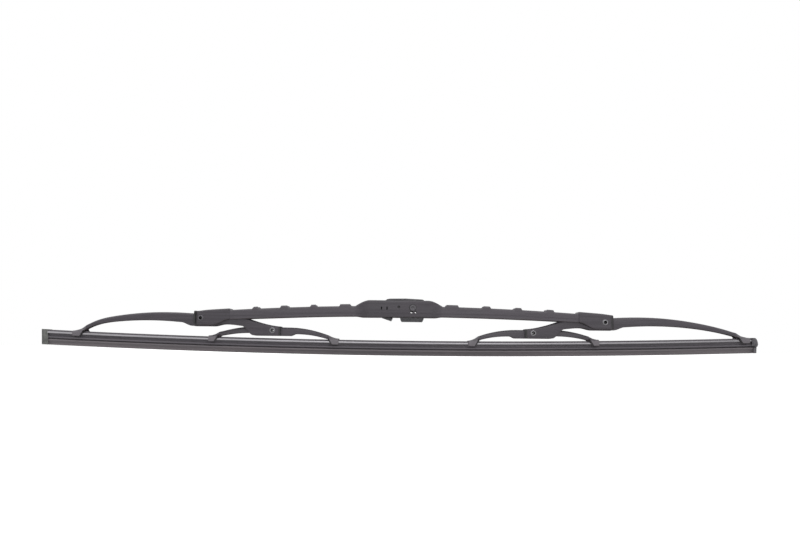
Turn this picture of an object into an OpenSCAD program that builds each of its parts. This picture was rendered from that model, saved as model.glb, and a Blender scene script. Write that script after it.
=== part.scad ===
// Conventional bracket-type wiper blade, 530 mm (21 inch).
// A pressed-steel whippletree: one primary bridge carries two secondary yokes, and each of them carries
// a tertiary yoke. Six claws hold a rubber element that is stiffened by two spring-steel rails.
// Frame: the origin is on the axis of the cross pin that the wiper arm's adapter clips on, X runs along
// the blade, Z points away from the glass and Y across the blade.

/* [Wiping element] */
// Length of the rubber element
element_l = 530.7; // [505:0.1:545]
// Distance from the adapter pin to the element's left end
element_left = 275.2; // [262:0.1:285]
// Radius of the bow of the element, whose ends stand up
element_bow_r = 6750; // [4500:50:20000]
// Height of the adapter pin above the middle of the rails
pin_above_rail = 25.8; // [25:0.1:29]
// Thickness of a steel rail
rail_t = 1.2; // [0.8:0.05:1.4]
// Width of a steel rail
rail_w = 3.1; // [2.6:0.05:3.6]
// Length of rubber that each end shows past the rails
rail_inset = 4.2; // [2:0.1:8]
// Width of the web of rubber between the two rails
web_w = 2.2; // [1.6:0.1:3]
// Height of the rubber crown above the rails
crown_h = 1.0; // [0.8:0.05:1.6]
// Width of the rubber crown
crown_w = 5.8; // [4.6:0.1:6.4]
// Height of the rubber below the rails, down to the tip of the lip
below_rail_h = 8.8; // [7:0.1:10]
// Width of the wiping lip at its tip
lip_w = 0.7; // [0.5:0.05:1.2]

/* [Steel] */
// Thickness of the pressed steel
steel_t = 1; // [0.8:0.05:1.2]
// Outer radius of the pressed corners
press_r = 1.6; // [1.3:0.1:2]

/* [Primary bridge] */
// Distance that the frame's middle lies left of the adapter pin
frame_offset = 7.2; // [2:0.1:12]
// Distance between the two bridge rivets
bridge_pitch = 300; // [290:0.5:310]
// Height of the spine above the adapter pin at the frame's middle
spine_rise = 0.95; // [0.2:0.05:1.4]
// Radius of the spine's long curve
spine_r = 2200; // [1900:10:3000]
// Depth of the channel at the frame's middle
bridge_depth = 7.15; // [6.6:0.05:8.4]
// Radius of the long curve of the channel's lower edge
bridge_edge_r = 2730; // [2300:10:4000]
// Distance of the bridge rivets below the spine
rivet_below_spine = 4.93; // [4.7:0.01:5.3]
// Length of the left flared end
left_flare_l = 26.4; // [24:0.1:32]
// Length of the right flared end
right_flare_l = 25.2; // [24:0.1:32]
// Length of a flared end past its rivet
flare_past = 3.9; // [3.6:0.1:6]
// Height that a flared end stands above the spine
flare_step = 1.15; // [0.9:0.05:1.4]
// Depth of a flared end below its rivet
flare_skirt = 3.8; // [3:0.1:4.4]

/* [Centre box] */
// Distance from the adapter pin to the box's left end
box_left = 43.2; // [40:0.1:48]
// Distance from the adapter pin to the box's right end
box_right = 22.4; // [21:0.1:28]
// Height of the box walls above the adapter pin
box_top = 5.6; // [4.6:0.1:6]
// Length over which the walls rise at each end of the box
box_ramp = 11.4; // [9:0.5:13]
// Diameter of the adapter pin
pin_d = 4.2; // [3.6:0.1:4.6]

/* [Spine bosses] */
// Length of a small boss at its foot
boss_l = 5.1; // [4:0.1:6]
// Length of the long boss beside the box at its foot
long_boss_l = 8.1; // [6.5:0.1:9]
// Height of the bosses above the spine
boss_h = 1.5; // [1:0.1:2.4]
// Distance from the frame's middle to the outermost small boss
boss_outer = 109; // [104:0.1:112]
// Distance between the small bosses of the left half
left_boss_pitch = 21.4; // [18:0.1:24]
// Distance between the small bosses of the right half
right_boss_pitch = 23.2; // [18:0.1:24]
// Number of small bosses on each half
boss_count = 3; // [1:1:3]

/* [Secondary yokes] */
// Distance from a bridge rivet in to the tertiary yoke's rivet
inner_arm = 53.1; // [50:0.1:57]
// Distance from the left bridge rivet out to the middle of the left end claw
left_arm = 91.6; // [86:0.1:97]
// Distance from the right bridge rivet out to the middle of the right end claw
right_arm = 105.3; // [98:0.1:108]
// Drop of the tertiary yokes' rivets below the adapter pin
yoke_rivet_drop = 17.6; // [17.2:0.05:18.4]
// Height of an outer arm's crest above the bridge rivet
arm_crest = 4.1; // [3:0.1:4.4]
// Radius of the left outer arm beside its crest
left_arm_r = 290; // [220:1:400]
// Radius of the right outer arm beside its crest
right_arm_r = 235; // [200:1:400]
// Length of the deep part round the tertiary yoke's rivet, inwards from the rivet
foot_l = 23; // [20:0.5:26]
// Depth of an outer arm at the bridge rivet
arm_depth = 7.6; // [6.4:0.1:8]
// Depth of an outer arm beside its claw
arm_tip_depth = 2.4; // [2:0.1:3.6]
// Narrowest width of an outer arm
arm_w = 6.6; // [5.6:0.1:8]

/* [Tertiary yokes] */
// Distance between the two claws of a tertiary yoke
claw_pitch = 91; // [84:0.5:96]
// Width of a tertiary yoke at its rivet
tertiary_w = 6; // [5.4:0.1:6.6]
// Depth of a tertiary yoke's arm beside the rivet
tertiary_depth = 5.9; // [5:0.1:6.4]
// Radius of a tertiary yoke's arms beside their crest
tertiary_arm_r = 80; // [70:1:120]
// Half the length of the straight back over a tertiary yoke's rivet
tertiary_back = 12; // [10:0.5:14]

/* [Claws and rivets] */
// Thickness of the steel in the claws
claw_t = 0.8; // [0.6:0.05:1]
// Length of a claw along the blade
claw_l = 5; // [4.4:0.1:7]
// Length of a claw's hook under the rail
hook_reach = 1.3; // [0.9:0.05:1.5]
// Diameter of the hollow rivets
rivet_d = 3; // [2.6:0.05:3.2]
// Diameter of the hole along the hollow rivets
rivet_bore = 1.9; // [1.2:0.05:2]
// Diameter of a rivet's head
rivet_head_d = 4.3; // [4:0.05:4.6]
// Height of a rivet's head
rivet_head_h = 0.45; // [0.3:0.05:0.6]
// Thickness of the nylon liners
liner_t = 0.7; // [0.6:0.05:0.9]

/* [Arm adapter] */
// Width of the wiper arm's hook that the adapter takes
hook_w = 9; // [8:0.1:9.3]
// Thickness of the wiper arm's hook
hook_t = 3; // [2.5:0.1:3.2]
// Thickness of an adapter cheek
cheek_t = 1.75; // [1.4:0.05:2]
// Depth of the adapter's nose below the adapter pin
nose_depth = 10; // [9.4:0.1:11.4]
// Distance of the spring tongue's bend from the adapter pin
tongue_reach = 24.4; // [22:0.1:26]
cheek_back = 20.8;        // back edge of the cheeks behind the pin
cheek_front = 8.4;        // front edge of the cheeks before the pin
nose_back = 9.4;          // back edge of the nose that hangs below the box
seat_l = 17;              // flat seat behind the pin that the hook lies on
// Distances of the two locating slots from the adapter pin
locators = [23.2, 19.1];

/* [Fits] */
// Gap between a fixed pin or rivet and its hole, across the diameter
fixed_gap = 0.04; // [0.02:0.01:0.06]
// Gap between a pin or rivet and what turns on it, across the diameter
running_gap = 0.1; // [0.06:0.01:0.16]
// Gap between parts that slide side by side
side_gap = 0.05; // [0.03:0.01:0.1]
// Gap between a claw and the element
claw_gap = 0.15; // [0.12:0.01:0.3]

/* [Hidden] */

// Colours
steel_paint = [0.20, 0.20, 0.21];
yoke_paint = [0.22, 0.22, 0.23];
rubber_black = [0.13, 0.13, 0.14];
bare_steel = [0.72, 0.71, 0.72];
rivet_steel = [0.62, 0.62, 0.63];
nylon_black = [0.08, 0.08, 0.09];
moulded_black = [0.16, 0.16, 0.17];

// Number of flats that round one pressed corner in a lofted channel
corner_n = 3;
// Overlap that makes a cut pass cleanly through a face
cut = 0.5;
// Facets of the round parts
$fn = 64;

// Widths from the inside of the nest to its outside
yoke_liner_w = tertiary_w + 2 * side_gap + 2 * liner_t;
yoke_w = yoke_liner_w + 2 * side_gap + 2 * steel_t;
bridge_liner_w = yoke_w + 2 * side_gap + 2 * liner_t;
flare_w = bridge_liner_w + 2 * side_gap + 2 * steel_t;
bridge_w = yoke_w + 6 * side_gap + 2 * steel_t;
adapter_gap = 0.25;
adapter_w = hook_w + 2 * adapter_gap + 2 * cheek_t;
box_w = adapter_w + 2 * adapter_gap + 2 * steel_t;

// Outer half-width over the rails, and the claw that wraps them
rails_half = web_w / 2 + rail_w;
claw_half = rails_half + claw_gap + claw_t;
crown_top = rail_t / 2 + crown_h;
claw_top = crown_top + claw_gap + claw_t;
claw_bottom = -rail_t / 2 - claw_gap - claw_t;

// Places along the blade, from the adapter pin
rivet_x = bridge_pitch / 2;
bridge_rivet_drop = fall(rivet_x, spine_r) - spine_rise + rivet_below_spine;
left_rivet_x = -frame_offset - rivet_x;
right_rivet_x = -frame_offset + rivet_x;
flare_end = rivet_x + flare_past;
function flare_start(f) = flare_end - (f < 0 ? left_flare_l : right_flare_l);
element_right = element_l - element_left;

// Eases from 0 to 1 as u goes from 0 to 1
function ease(u) = let (c = min(max(u, 0), 1)) c * c * (3 - 2 * c);
// Fall of an arc of radius r at a distance d from its crest
function fall(d, r) = r - sqrt(r * r - d * d);
// n values from a on towards b, without b
function spread(a, b, n) = [for (i = [0:n - 1]) a + (b - a) * i / n];
function backwards(list) = [for (i = [len(list) - 1:-1:0]) list[i]];
// Puts the stations in the order of rising X
function ordered(stations) =
    stations[0][0] > stations[len(stations) - 1][0] ? backwards(stations) : stations;
// Height of the middle of the rails at a place along the blade
function rail_z(x) = -pin_above_rail + fall(x, element_bow_r);
function rail_slope(x) = asin(x / element_bow_r);

// Lofted channel
// A station is [x, top, lower edge, half width, wall]. The section is an inverted U with round shoulders.

function arch(top, bottom, half, radius) =
    let (r = min(radius, 0.8 * half, 0.8 * (top - bottom)))
    concat(
        [[-half, bottom]],
        [for (i = [0:corner_n]) let (a = 180 - 90 * i / corner_n)
            [-half + r + r * cos(a), top - r + r * sin(a)]],
        [for (i = [0:corner_n]) let (a = 90 - 90 * i / corner_n)
            [half - r + r * cos(a), top - r + r * sin(a)]],
        [[half, bottom]]
    );

function channel_ring(s) =
    let (
        outer = arch(s[1], s[2], s[3], press_r),
        inner = arch(s[1] - s[4], s[2], s[3] - s[4], max(press_r - s[4], 0.3))
    )
    [for (p = concat(outer, backwards(inner))) [s[0], p[0], p[1]]];

module lofted_channel(stations) {
    path_n = 2 * corner_n + 4;
    ring_n = 2 * path_n;
    last = (len(stations) - 1) * ring_n;
    polyhedron(
        points = [for (s = stations) each channel_ring(s)],
        faces = concat(
            [for (k = [0:path_n - 2]) [ring_n - 1 - k, ring_n - 2 - k, k + 1, k]],
            [for (k = [0:path_n - 2]) [last + k, last + k + 1, last + ring_n - 2 - k, last + ring_n - 1 - k]],
            [for (i = [0:len(stations) - 2], k = [0:ring_n - 1])
                let (a = i * ring_n, b = a + ring_n, n = (k + 1) % ring_n)
                each [[a + k, a + n, b + n], [a + k, b + n, b + k]]]
        ),
        convexity = 8
    );
}

// A round bar or hole across the blade, on the axis y
module across(d, l, x = 0, z = 0) {
    translate([x, l / 2, z]) rotate([90, 0, 0]) cylinder(d = d, h = l);
}

// A side outline extruded across the blade, on the middle plane
module side_plate(w) {
    translate([0, w / 2, 0]) rotate([90, 0, 0]) linear_extrude(w) children();
}

// Rivets and pins

module hollow_rivet(over, x, z) {
    color(rivet_steel) difference() {
        union() {
            across(rivet_d, over + 2 * cut, x, z);
            for (side = [-1, 1]) translate([x, side * over / 2, z]) rotate([-90 * side, 0, 0])
                rotate_extrude() polygon([
                    [0, 0], [rivet_head_d / 2, 0], [rivet_head_d / 2, 0.4 * rivet_head_h],
                    [0.8 * rivet_head_d / 2, rivet_head_h], [0, rivet_head_h]
                ]);
        }
        across(rivet_bore, over + 2 * rivet_head_h + 2 * cut, x, z);
    }
}

module bridge_pin() {
    head_d = pin_d + 1.1;
    color(rivet_steel) difference() {
        union() {
            across(pin_d, box_w);
            for (side = [-1, 1]) translate([0, side * box_w / 2, 0]) rotate([-90 * side, 0, 0])
                rotate_extrude() polygon([
                    [0, 0], [head_d / 2, 0], [head_d / 2, 0.3 * rivet_head_h],
                    [0.85 * head_d / 2, rivet_head_h], [0, rivet_head_h]
                ]);
        }
        for (side = [-1, 1]) translate([0, side * (box_w / 2 + rivet_head_h), 0])
            rotate([90, 0, 0]) cylinder(d = 0.5 * pin_d, h = 1.2 * rivet_head_h, center = true);
    }
}

// Primary bridge

// How far a place on the bridge is up the joggle of the flared end, from 0 to 1
function flare_share(f) = min(max((abs(f) - flare_start(f)) / steel_t, 0), 1);
// How far a place is up the ramp of the centre box, from 0 to 1
function box_share(x) = min(max(min(x + box_left, box_right - x) / box_ramp, 0), 1);
function spine_z(x) = spine_rise - fall(x + frame_offset, spine_r);
function bridge_top(x) =
    let (f = x + frame_offset, spine = spine_z(x))
    spine + flare_step * flare_share(f)
    - 0.35 * ease((abs(f) - flare_end + 2) / 2)
    + (box_top - spine) * sin(90 * box_share(x));
function bridge_edge(x) =
    let (f = x + frame_offset, edge = spine_rise - bridge_depth - fall(f, bridge_edge_r))
    edge - 0.7 * ease(box_share(x)) + (-bridge_rivet_drop - flare_skirt - edge) * ease((abs(f) - flare_start(f) + 1) / (left_flare_l / 2));
function bridge_half(x) =
    bridge_w / 2 + (flare_w - bridge_w) / 2 * flare_share(x + frame_offset)
    + (box_w - bridge_w) / 2 * ease(box_share(x));

// Places along a flared end that starts at a distance from the frame's middle
function flare_places(start) = concat(
    spread(flare_end, flare_end - 2, 3),
    spread(flare_end - 2, start + left_flare_l / 2, 2),
    spread(start + left_flare_l / 2, start + steel_t, 5),
    [start + steel_t, start]
);

function bridge_stations() =
    let (
        left = flare_start(-1),
        right = flare_start(1),
        xs = concat(
            [for (f = flare_places(left)) -frame_offset - f],
            spread(-frame_offset - left + 6, -box_left, 5),
            spread(-box_left, -box_left + box_ramp, 7),
            spread(-box_left + box_ramp, box_right - box_ramp, 2),
            spread(box_right - box_ramp, box_right, 7),
            spread(box_right, -frame_offset + right - 6, 5),
            [-frame_offset + right - 6],
            [for (f = backwards(flare_places(right))) -frame_offset + f]
        )
    )
    [for (x = xs) [x, bridge_top(x), bridge_edge(x), bridge_half(x), steel_t]];

// A pair of bosses that stand on the two shoulders of the spine
module boss_pair(x, l) {
    foot = spine_z(x) - steel_t * 0.6;
    top = spine_z(x) + boss_h;
    slope = boss_h * 0.5;
    boss_w = 2.6;
    for (side = [-1, 1]) translate([x, side * (bridge_w / 2 - boss_w / 2 - 0.35), 0]) side_plate(boss_w)
        polygon([
            [-l / 2, foot], [-l / 2, top - boss_h], [-l / 2 + slope, top - 0.25], [-l / 2 + slope + 0.4, top],
            [l / 2 - slope - 0.4, top], [l / 2 - slope, top - 0.25], [l / 2, top - boss_h], [l / 2, foot]
        ]);
}

module primary_bridge() {
    window_l = box_left + box_right - 2 * box_ramp + 3;
    inner_w = box_w - 2 * steel_t + 0.04;
    color(steel_paint) difference() {
        union() {
            lofted_channel(bridge_stations());
            for (i = [0:boss_count - 1]) {
                boss_pair(-frame_offset - boss_outer + i * left_boss_pitch, boss_l);
                boss_pair(-frame_offset + boss_outer - i * right_boss_pitch, boss_l);
            }
            boss_pair(-box_left - long_boss_l / 2 - 2.9, long_boss_l);
            boss_pair(box_right + long_boss_l / 2 + 2.9, long_boss_l);
        }
        // The mouth of the box, where the arm's hook goes in
        translate([-box_left + box_ramp - 1.5, -inner_w / 2, box_top - steel_t - cut])
            cube([window_l, inner_w, 4]);
        across(pin_d + fixed_gap, box_w + 2 * cut);
        for (x = [left_rivet_x, right_rivet_x])
            across(rivet_d + fixed_gap, flare_w + 2 * cut, x, -bridge_rivet_drop);
        sight_holes(box_w + 2 * cut);
        // Locating holes for the adapter's spring tongue
        across(2, box_w + 2 * cut, -2.5 * pin_d, 0.6);
        for (x = locators) side_slot(1.2, 2.4, box_w + 2 * cut, -x, -0.4);
    }
}

// Two small openings under the pin that go through the box and the adapter
module sight_holes(w) {
    side_slot(1.8, 2, w, -0.9, -3.2);
    side_slot(1.5, 2, w, 2.1, -3.2);
}

// An upright slot with round ends, through a width w
module side_slot(slot_w, slot_h, w, x, z) {
    for (dz = [-1, 1]) across(slot_w, w, x, z + dz * (slot_h - slot_w) / 2);
    translate([x - slot_w / 2, -w / 2, z - (slot_h - slot_w) / 2]) cube([slot_w, w, slot_h - slot_w]);
}

// Secondary yokes
// s is the distance from the bridge rivet, outwards along the arm. dir is -1 on the left and 1 on the right.

inner_end = inner_arm + 4.8;
crest_s = 27;
// Height of an arm's back above its claw's
arm_over = 0.6;
// How far an arm of radius r has fallen at a distance d from its crest. Its last half bends down to the claw.
function arm_fall(d, tip, total, r) =
    let (late = 0.48 * tip)
    fall(d, r) + (total - fall(tip, r)) * pow(max(d - late, 0) / (tip - late), 2.6);

function arm_of(dir) = dir < 0 ? left_arm : right_arm;
function rivet_of(dir) = dir < 0 ? left_rivet_x : right_rivet_x;
function arm_r_of(dir) = dir < 0 ? left_arm_r : right_arm_r;
function arm_tip(dir) = arm_of(dir) - claw_l / 2;

function secondary_top(s, dir) =
    let (
        tip = arm_tip(dir),
        crest = -bridge_rivet_drop + arm_crest,
        tip_z = rail_z(rivet_of(dir) + dir * tip) + claw_top + arm_over,
        hip = -inner_arm * 0.53,
        end_z = -yoke_rivet_drop + 3,
        u = (hip - s) / (hip + inner_end)
    )
    s >= tip ? rail_z(rivet_of(dir) + dir * s) + claw_top
    : s >= crest_s ? crest - arm_fall(s - crest_s, tip - crest_s, crest - tip_z, arm_r_of(dir))
    : s >= 0 ? crest - 1.2 * pow((crest_s - s) / crest_s, 2)
    : s >= hip ? crest - 1.2 - 0.6 * s / hip
    : crest - 1.8 - (crest - 1.8 - end_z) * (0.35 * u + 0.65 * sin(90 * u));

function secondary_edge(s, dir) =
    let (
        tip = arm_tip(dir),
        rivet_z = -bridge_rivet_drop,
        belly = rivet_z - 6.2,
        waist = rivet_z - 4.7 - 0.9 * ease((-s - 18) / 16),
        foot = -yoke_rivet_drop - 3.8,
        depth = arm_depth - (arm_depth - arm_tip_depth) * max(s, 0) / tip,
        arm = max(secondary_top(s, dir) - depth, rail_z(rivet_of(dir) + dir * s) + crown_top + claw_gap)
    )
    s >= tip ? rail_z(rivet_of(dir) + dir * s) + claw_bottom
    : s >= 0 ? belly + (arm - belly) * ease((s - 8.3) / 3.4)
    : s >= -20 ? belly + (waist - belly) * ease((-s - 10.8) / 3.4)
    : waist + (foot - waist) * ease((-s - inner_arm + foot_l) / 9);

function secondary_half(s, dir) =
    let (tip = arm_tip(dir))
    yoke_w / 2 - (yoke_w - arm_w) / 2 * ease((s - 10) / (0.73 * tip))
    + (claw_half - arm_w / 2) * ease((s - tip + 7) / 7);

function secondary_stations(dir) =
    let (
        tip = arm_tip(dir),
        ss = concat(
            spread(-inner_end, -inner_arm + foot_l - 9, 7),
            spread(-inner_arm + foot_l - 9, -inner_arm + foot_l, 6),
            spread(-inner_arm + foot_l, -14.2, 4),
            spread(-14.2, -10.8, 3),
            spread(-10.8, 8.3, 3),
            spread(8.3, 11.7, 4),
            spread(11.7, tip - 7, 9),
            spread(tip - 7, tip - 0.3, 5),
            [tip - 0.3, tip, tip + claw_l / 2, tip + claw_l]
        )
    )
    ordered([for (s = ss)
        [rivet_of(dir) + dir * s, secondary_top(s, dir), secondary_edge(s, dir), secondary_half(s, dir),
            steel_t - (steel_t - claw_t) * ease((s - tip + 7) / 7)]]);

// The two hooks of a claw, which close it under the rails
module claw_hooks(x) {
    hook_y = rails_half + claw_gap - hook_reach;
    translate([x, 0, rail_z(x)]) rotate([0, -rail_slope(x), 0])
        for (side = [-1, 1]) translate([-claw_l / 2 + 0.05, side > 0 ? hook_y : -claw_half + 0.3, claw_bottom])
            cube([claw_l - 0.1, claw_half - 0.3 - hook_y, claw_t]);
}

// Space over the tertiary yoke's rivet where nothing spans the two cheeks, so that the yoke can rise
module fork_space(dir, w) {
    translate([rivet_of(dir) - dir * (inner_arm + fork_l / 2 - fork_back) - fork_l / 2, -w / 2, -yoke_rivet_drop + 1])
        cube([fork_l, w, 8]);
}

module secondary_yoke(dir) {
    x = rivet_of(dir);
    color(yoke_paint) difference() {
        union() {
            lofted_channel(secondary_stations(dir));
            claw_hooks(x + dir * arm_of(dir));
        }
        across(rivet_d + running_gap, yoke_w + 2 * cut, x, -bridge_rivet_drop);
        across(rivet_d + fixed_gap, yoke_w + 2 * cut, x - dir * inner_arm, -yoke_rivet_drop);
        fork_space(dir, yoke_liner_w + 2 * side_gap + 0.04);
    }
}

// The fork's open length, and how much of it lies between the rivet and the bridge rivet
fork_l = 20;
fork_back = 8.4;

// Tertiary yokes
// d is the distance from the yoke's rivet, towards either claw.

tertiary_tip = claw_pitch / 2 - claw_l / 2;

function tertiary_top(d, x) =
    let (
        a = abs(d),
        crest = -yoke_rivet_drop + 2.3 + 0.5 * ease((sign(x) * d + tertiary_back) / (2 * tertiary_back)),
        tip_z = rail_z(x + sign(d) * tertiary_tip) + claw_top + arm_over
    )
    a >= tertiary_tip ? rail_z(x + d) + claw_top
    : crest - arm_fall(max(a - tertiary_back, 0), tertiary_tip - tertiary_back, crest - tip_z, tertiary_arm_r);

function tertiary_edge(d, x) =
    let (
        a = abs(d),
        belly = -yoke_rivet_drop - 4,
        depth = tertiary_depth - 2.8 * a / tertiary_tip,
        arm = max(tertiary_top(d, x) - depth, rail_z(x + d) + crown_top + claw_gap)
    )
    a >= tertiary_tip ? rail_z(x + d) + claw_bottom
    : belly + (arm - belly) * ease((a - tertiary_back - 1) / 4);

function tertiary_half(d) =
    tertiary_w / 2 + (claw_half - tertiary_w / 2) * ease((abs(d) - tertiary_tip + 7) / 7);

function tertiary_stations(x) =
    let (
        side = concat(
            spread(tertiary_tip + claw_l, tertiary_tip, 2),
            [tertiary_tip],
            spread(tertiary_tip - 0.3, tertiary_tip - 7, 5),
            spread(tertiary_tip - 7, tertiary_back + 5, 4),
            spread(tertiary_back + 5, tertiary_back + 1, 3),
            [tertiary_back + 1]
        ),
        ds = concat([for (d = side) -d], backwards(side))
    )
    [for (d = ds) [x + d, tertiary_top(d, x), tertiary_edge(d, x), tertiary_half(d),
        steel_t - (steel_t - claw_t) * ease((abs(d) - tertiary_tip + 7) / 7)]];

module tertiary_yoke(dir) {
    x = rivet_of(dir) - dir * inner_arm;
    color(yoke_paint) difference() {
        union() {
            lofted_channel(tertiary_stations(x));
            for (side = [-1, 1]) claw_hooks(x + side * claw_pitch / 2);
        }
        across(rivet_d + running_gap, tertiary_w + 2 * cut, x, -yoke_rivet_drop);
    }
}

// Nylon liners
// A liner fills the play between two channels. Its rim covers the end of the outer one.

rim_l = 1.2;

module bridge_liner(dir) {
    x = rivet_of(dir);
    under = steel_t + side_gap;
    body = bridge_liner_w / 2;
    rim = flare_w / 2;
    inside = -frame_offset + dir * (flare_start(dir) + 2.5);
    mouth = -frame_offset + dir * flare_end;
    color(nylon_black) difference() {
        lofted_channel(ordered(concat(
            [for (i = [0:5]) let (p = inside + (mouth - inside) * i / 5)
                [p, bridge_top(p) - under, bridge_edge(p) + 0.5, body, liner_t]],
            [for (p = [mouth + dir * 0.05, mouth + dir * rim_l])
                [p, bridge_top(mouth), bridge_edge(mouth) + 0.1, rim, liner_t + under]]
        )));
        across(rivet_d + fixed_gap, flare_w + 2 * cut, x, -bridge_rivet_drop);
    }
}

module yoke_liner(dir) {
    x = rivet_of(dir);
    rivet = x - dir * inner_arm;
    body = yoke_liner_w / 2;
    rim = yoke_w / 2;
    inside = inner_arm - fork_back + 0.6;
    color(nylon_black) difference() {
        lofted_channel(ordered(concat(
            [for (i = [0:4]) let (s = -(inside + (inner_end - inside) * i / 4))
                [x + dir * s, secondary_top(s, dir), secondary_edge(s, dir) + 0.4, body, liner_t]],
            [for (s = [-inner_end - 0.05, -inner_end - rim_l])
                [x + dir * s, secondary_top(-inner_end, dir), secondary_edge(-inner_end, dir) + 0.1, rim,
                    liner_t + steel_t + side_gap]]
        )));
        across(rivet_d + fixed_gap, yoke_w + 2 * cut, rivet, -yoke_rivet_drop);
        fork_space(dir, tertiary_w + 2 * side_gap + 0.04);
    }
}

// Wiping element
// The section is drawn as [across, height above the middle of the rails] and swept along the bow.

neck_w = 1.1;
flange_w = 6.2;
shoulder_w = 5.6;

function half_section() = let (
    slot = rail_t / 2 + 0.04,
    tip = -rail_t / 2 - below_rail_h,
    flange = -0.3 * below_rail_h,
    neck = flange - 1.3,
    wedge = neck - 1.3
) [
    [crown_w / 2 - 0.7, crown_top], [crown_w / 2 - 0.2, crown_top - 0.25],
    [crown_w / 2, crown_top - 0.7], [crown_w / 2, slot], [web_w / 2, slot], [web_w / 2, -slot],
    [crown_w / 2 - 0.3, -slot], [crown_w / 2 - 0.3, -slot - 0.6], [crown_w / 2 - 1.1, -slot - 0.8],
    [crown_w / 2 - 1.1, flange], [flange_w / 2 - 0.15, flange - 0.15], [flange_w / 2, flange - 0.35],
    [flange_w / 2, neck + 0.35], [flange_w / 2 - 0.25, neck + 0.1], [neck_w / 2 + 0.5, neck - 0.1],
    [neck_w / 2, neck - 0.45], [neck_w / 2, wedge + 0.35], [neck_w / 2 + 0.5, wedge],
    [shoulder_w / 2 - 0.2, wedge - 0.1], [shoulder_w / 2, wedge - 0.35], [shoulder_w / 2, wedge - 0.9],
    [shoulder_w / 2 - 0.9, wedge - 1.35], [lip_w / 2 + 0.45, wedge - 2.2], [lip_w / 2, wedge - 2.9],
    [lip_w / 2, tip]
];

function element_section() =
    let (h = half_section(), n = len(h))
    concat(h, [for (i = [n - 1:-1:0]) [-h[i][0], h[i][1]]]);

// Sweeps a closed outline along the bow from one place to another
module bowed(outline, from, to, rings) {
    n = len(outline);
    last = (rings - 1) * n;
    polyhedron(
        points = [for (i = [0:rings - 1])
            let (x = from + (to - from) * i / (rings - 1), a = rail_slope(x))
            each [for (p = outline) [x - p[1] * sin(a), p[0], rail_z(x) + p[1] * cos(a)]]],
        faces = concat(
            [[for (k = [0:n - 1]) k]],
            [[for (k = [n - 1:-1:0]) last + k]],
            [for (i = [0:rings - 2], k = [0:n - 1])
                let (a = i * n, b = a + n, m = (k + 1) % n)
                each [[a + k, b + m, a + m], [a + k, b + k, b + m]]]
        ),
        convexity = 6
    );
}

module rubber_element() {
    color(rubber_black) bowed(element_section(), -element_left, element_right, 29);
}

module rail(side) {
    inner = web_w / 2 + side_gap;
    outer = rails_half;
    color(bare_steel) bowed(
        [for (p = [[inner, 1], [outer, 1], [outer, -1], [inner, -1]]) [side * p[0], side * p[1] * rail_t / 2]],
        -element_left + rail_inset, element_right - rail_inset / 2, 29
    );
}

// Height of the element's lip below the middle of the rails
lip_drop = rail_t / 2 + below_rail_h;

// Cap that closes the right end and stops the element from sliding out of its claws
module end_clip() {
    clip_t = 0.5;
    grip = 4.2;
    half = rails_half + claw_gap + clip_t;
    top = crown_top + 0.05 + 0.7 * clip_t;
    foot = -4.9;
    color(nylon_black) translate([element_right, 0, rail_z(element_right)])
        rotate([0, -rail_slope(element_right), 0]) difference() {
            union() {
                side_plate(2 * half) polygon([
                    [-grip, top], [-0.6, top], [0.2, top - 0.7], [0.8, -1.9], [0.7, -3.6], [0.5, foot],
                    [-grip, foot + 0.9]
                ]);
                side_plate(flange_w + 2 * side_gap + 2 * clip_t)
                    polygon([[-1.6, foot + 2], [0.5, foot + 2], [0.4, -lip_drop], [-1.6, -lip_drop]]);
            }
            translate([-grip - cut, -half + clip_t, foot - cut])
                cube([grip + cut + 0.05, 2 * (half - clip_t), top - 0.7 * clip_t - foot + cut]);
            translate([-grip - cut, -flange_w / 2 - side_gap, -lip_drop - cut])
                cube([grip + cut + 0.05, flange_w + 2 * side_gap, lip_drop]);
        }
}

// Stop that covers the left end and fills the two rail slots
module rail_stop() {
    stop_l = rail_inset - 0.1;
    web_gap = web_w + 2 * side_gap;
    top = crown_top + 0.5;
    color(nylon_black) translate([-element_left, 0, rail_z(-element_left)])
        rotate([0, -rail_slope(-element_left), 0]) {
            for (side = [-1, 1]) translate([0, side > 0 ? web_gap / 2 : -rails_half, -rail_t / 2])
                cube([stop_l, rails_half - web_gap / 2, rail_t]);
            difference() {
                side_plate(2 * rails_half)
                    polygon([[-0.6, top - 0.3], [-0.3, top], [stop_l, top], [stop_l, -lip_drop], [-0.6, -lip_drop]]);
                translate([-0.02, -flange_w / 2 - side_gap, -lip_drop - cut])
                    cube([stop_l + cut, flange_w + 2 * side_gap, lip_drop + crown_top + 0.05 + cut]);
            }
        }
}

// Arm adapter
// A moulded clip that snaps over the pin. The arm's hook lies round its core, between the cheeks.

module cheek_outline() {
    polygon([
        [-cheek_back, box_top - 0.5], [3.6 - cheek_back, box_top + 1.2], [-cheek_front + 2.9, box_top + 1.4],
        [cheek_front - 0.2, box_top + 0.7], [cheek_front, box_top - 1], [cheek_front, 3 - nose_depth],
        [cheek_front - 1.1, -nose_depth], [1.2 - nose_back, -nose_depth],
        [-nose_back, 3 - nose_depth], [-nose_back, -3.4], [-cheek_back, -1.6]
    ]);
}

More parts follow.
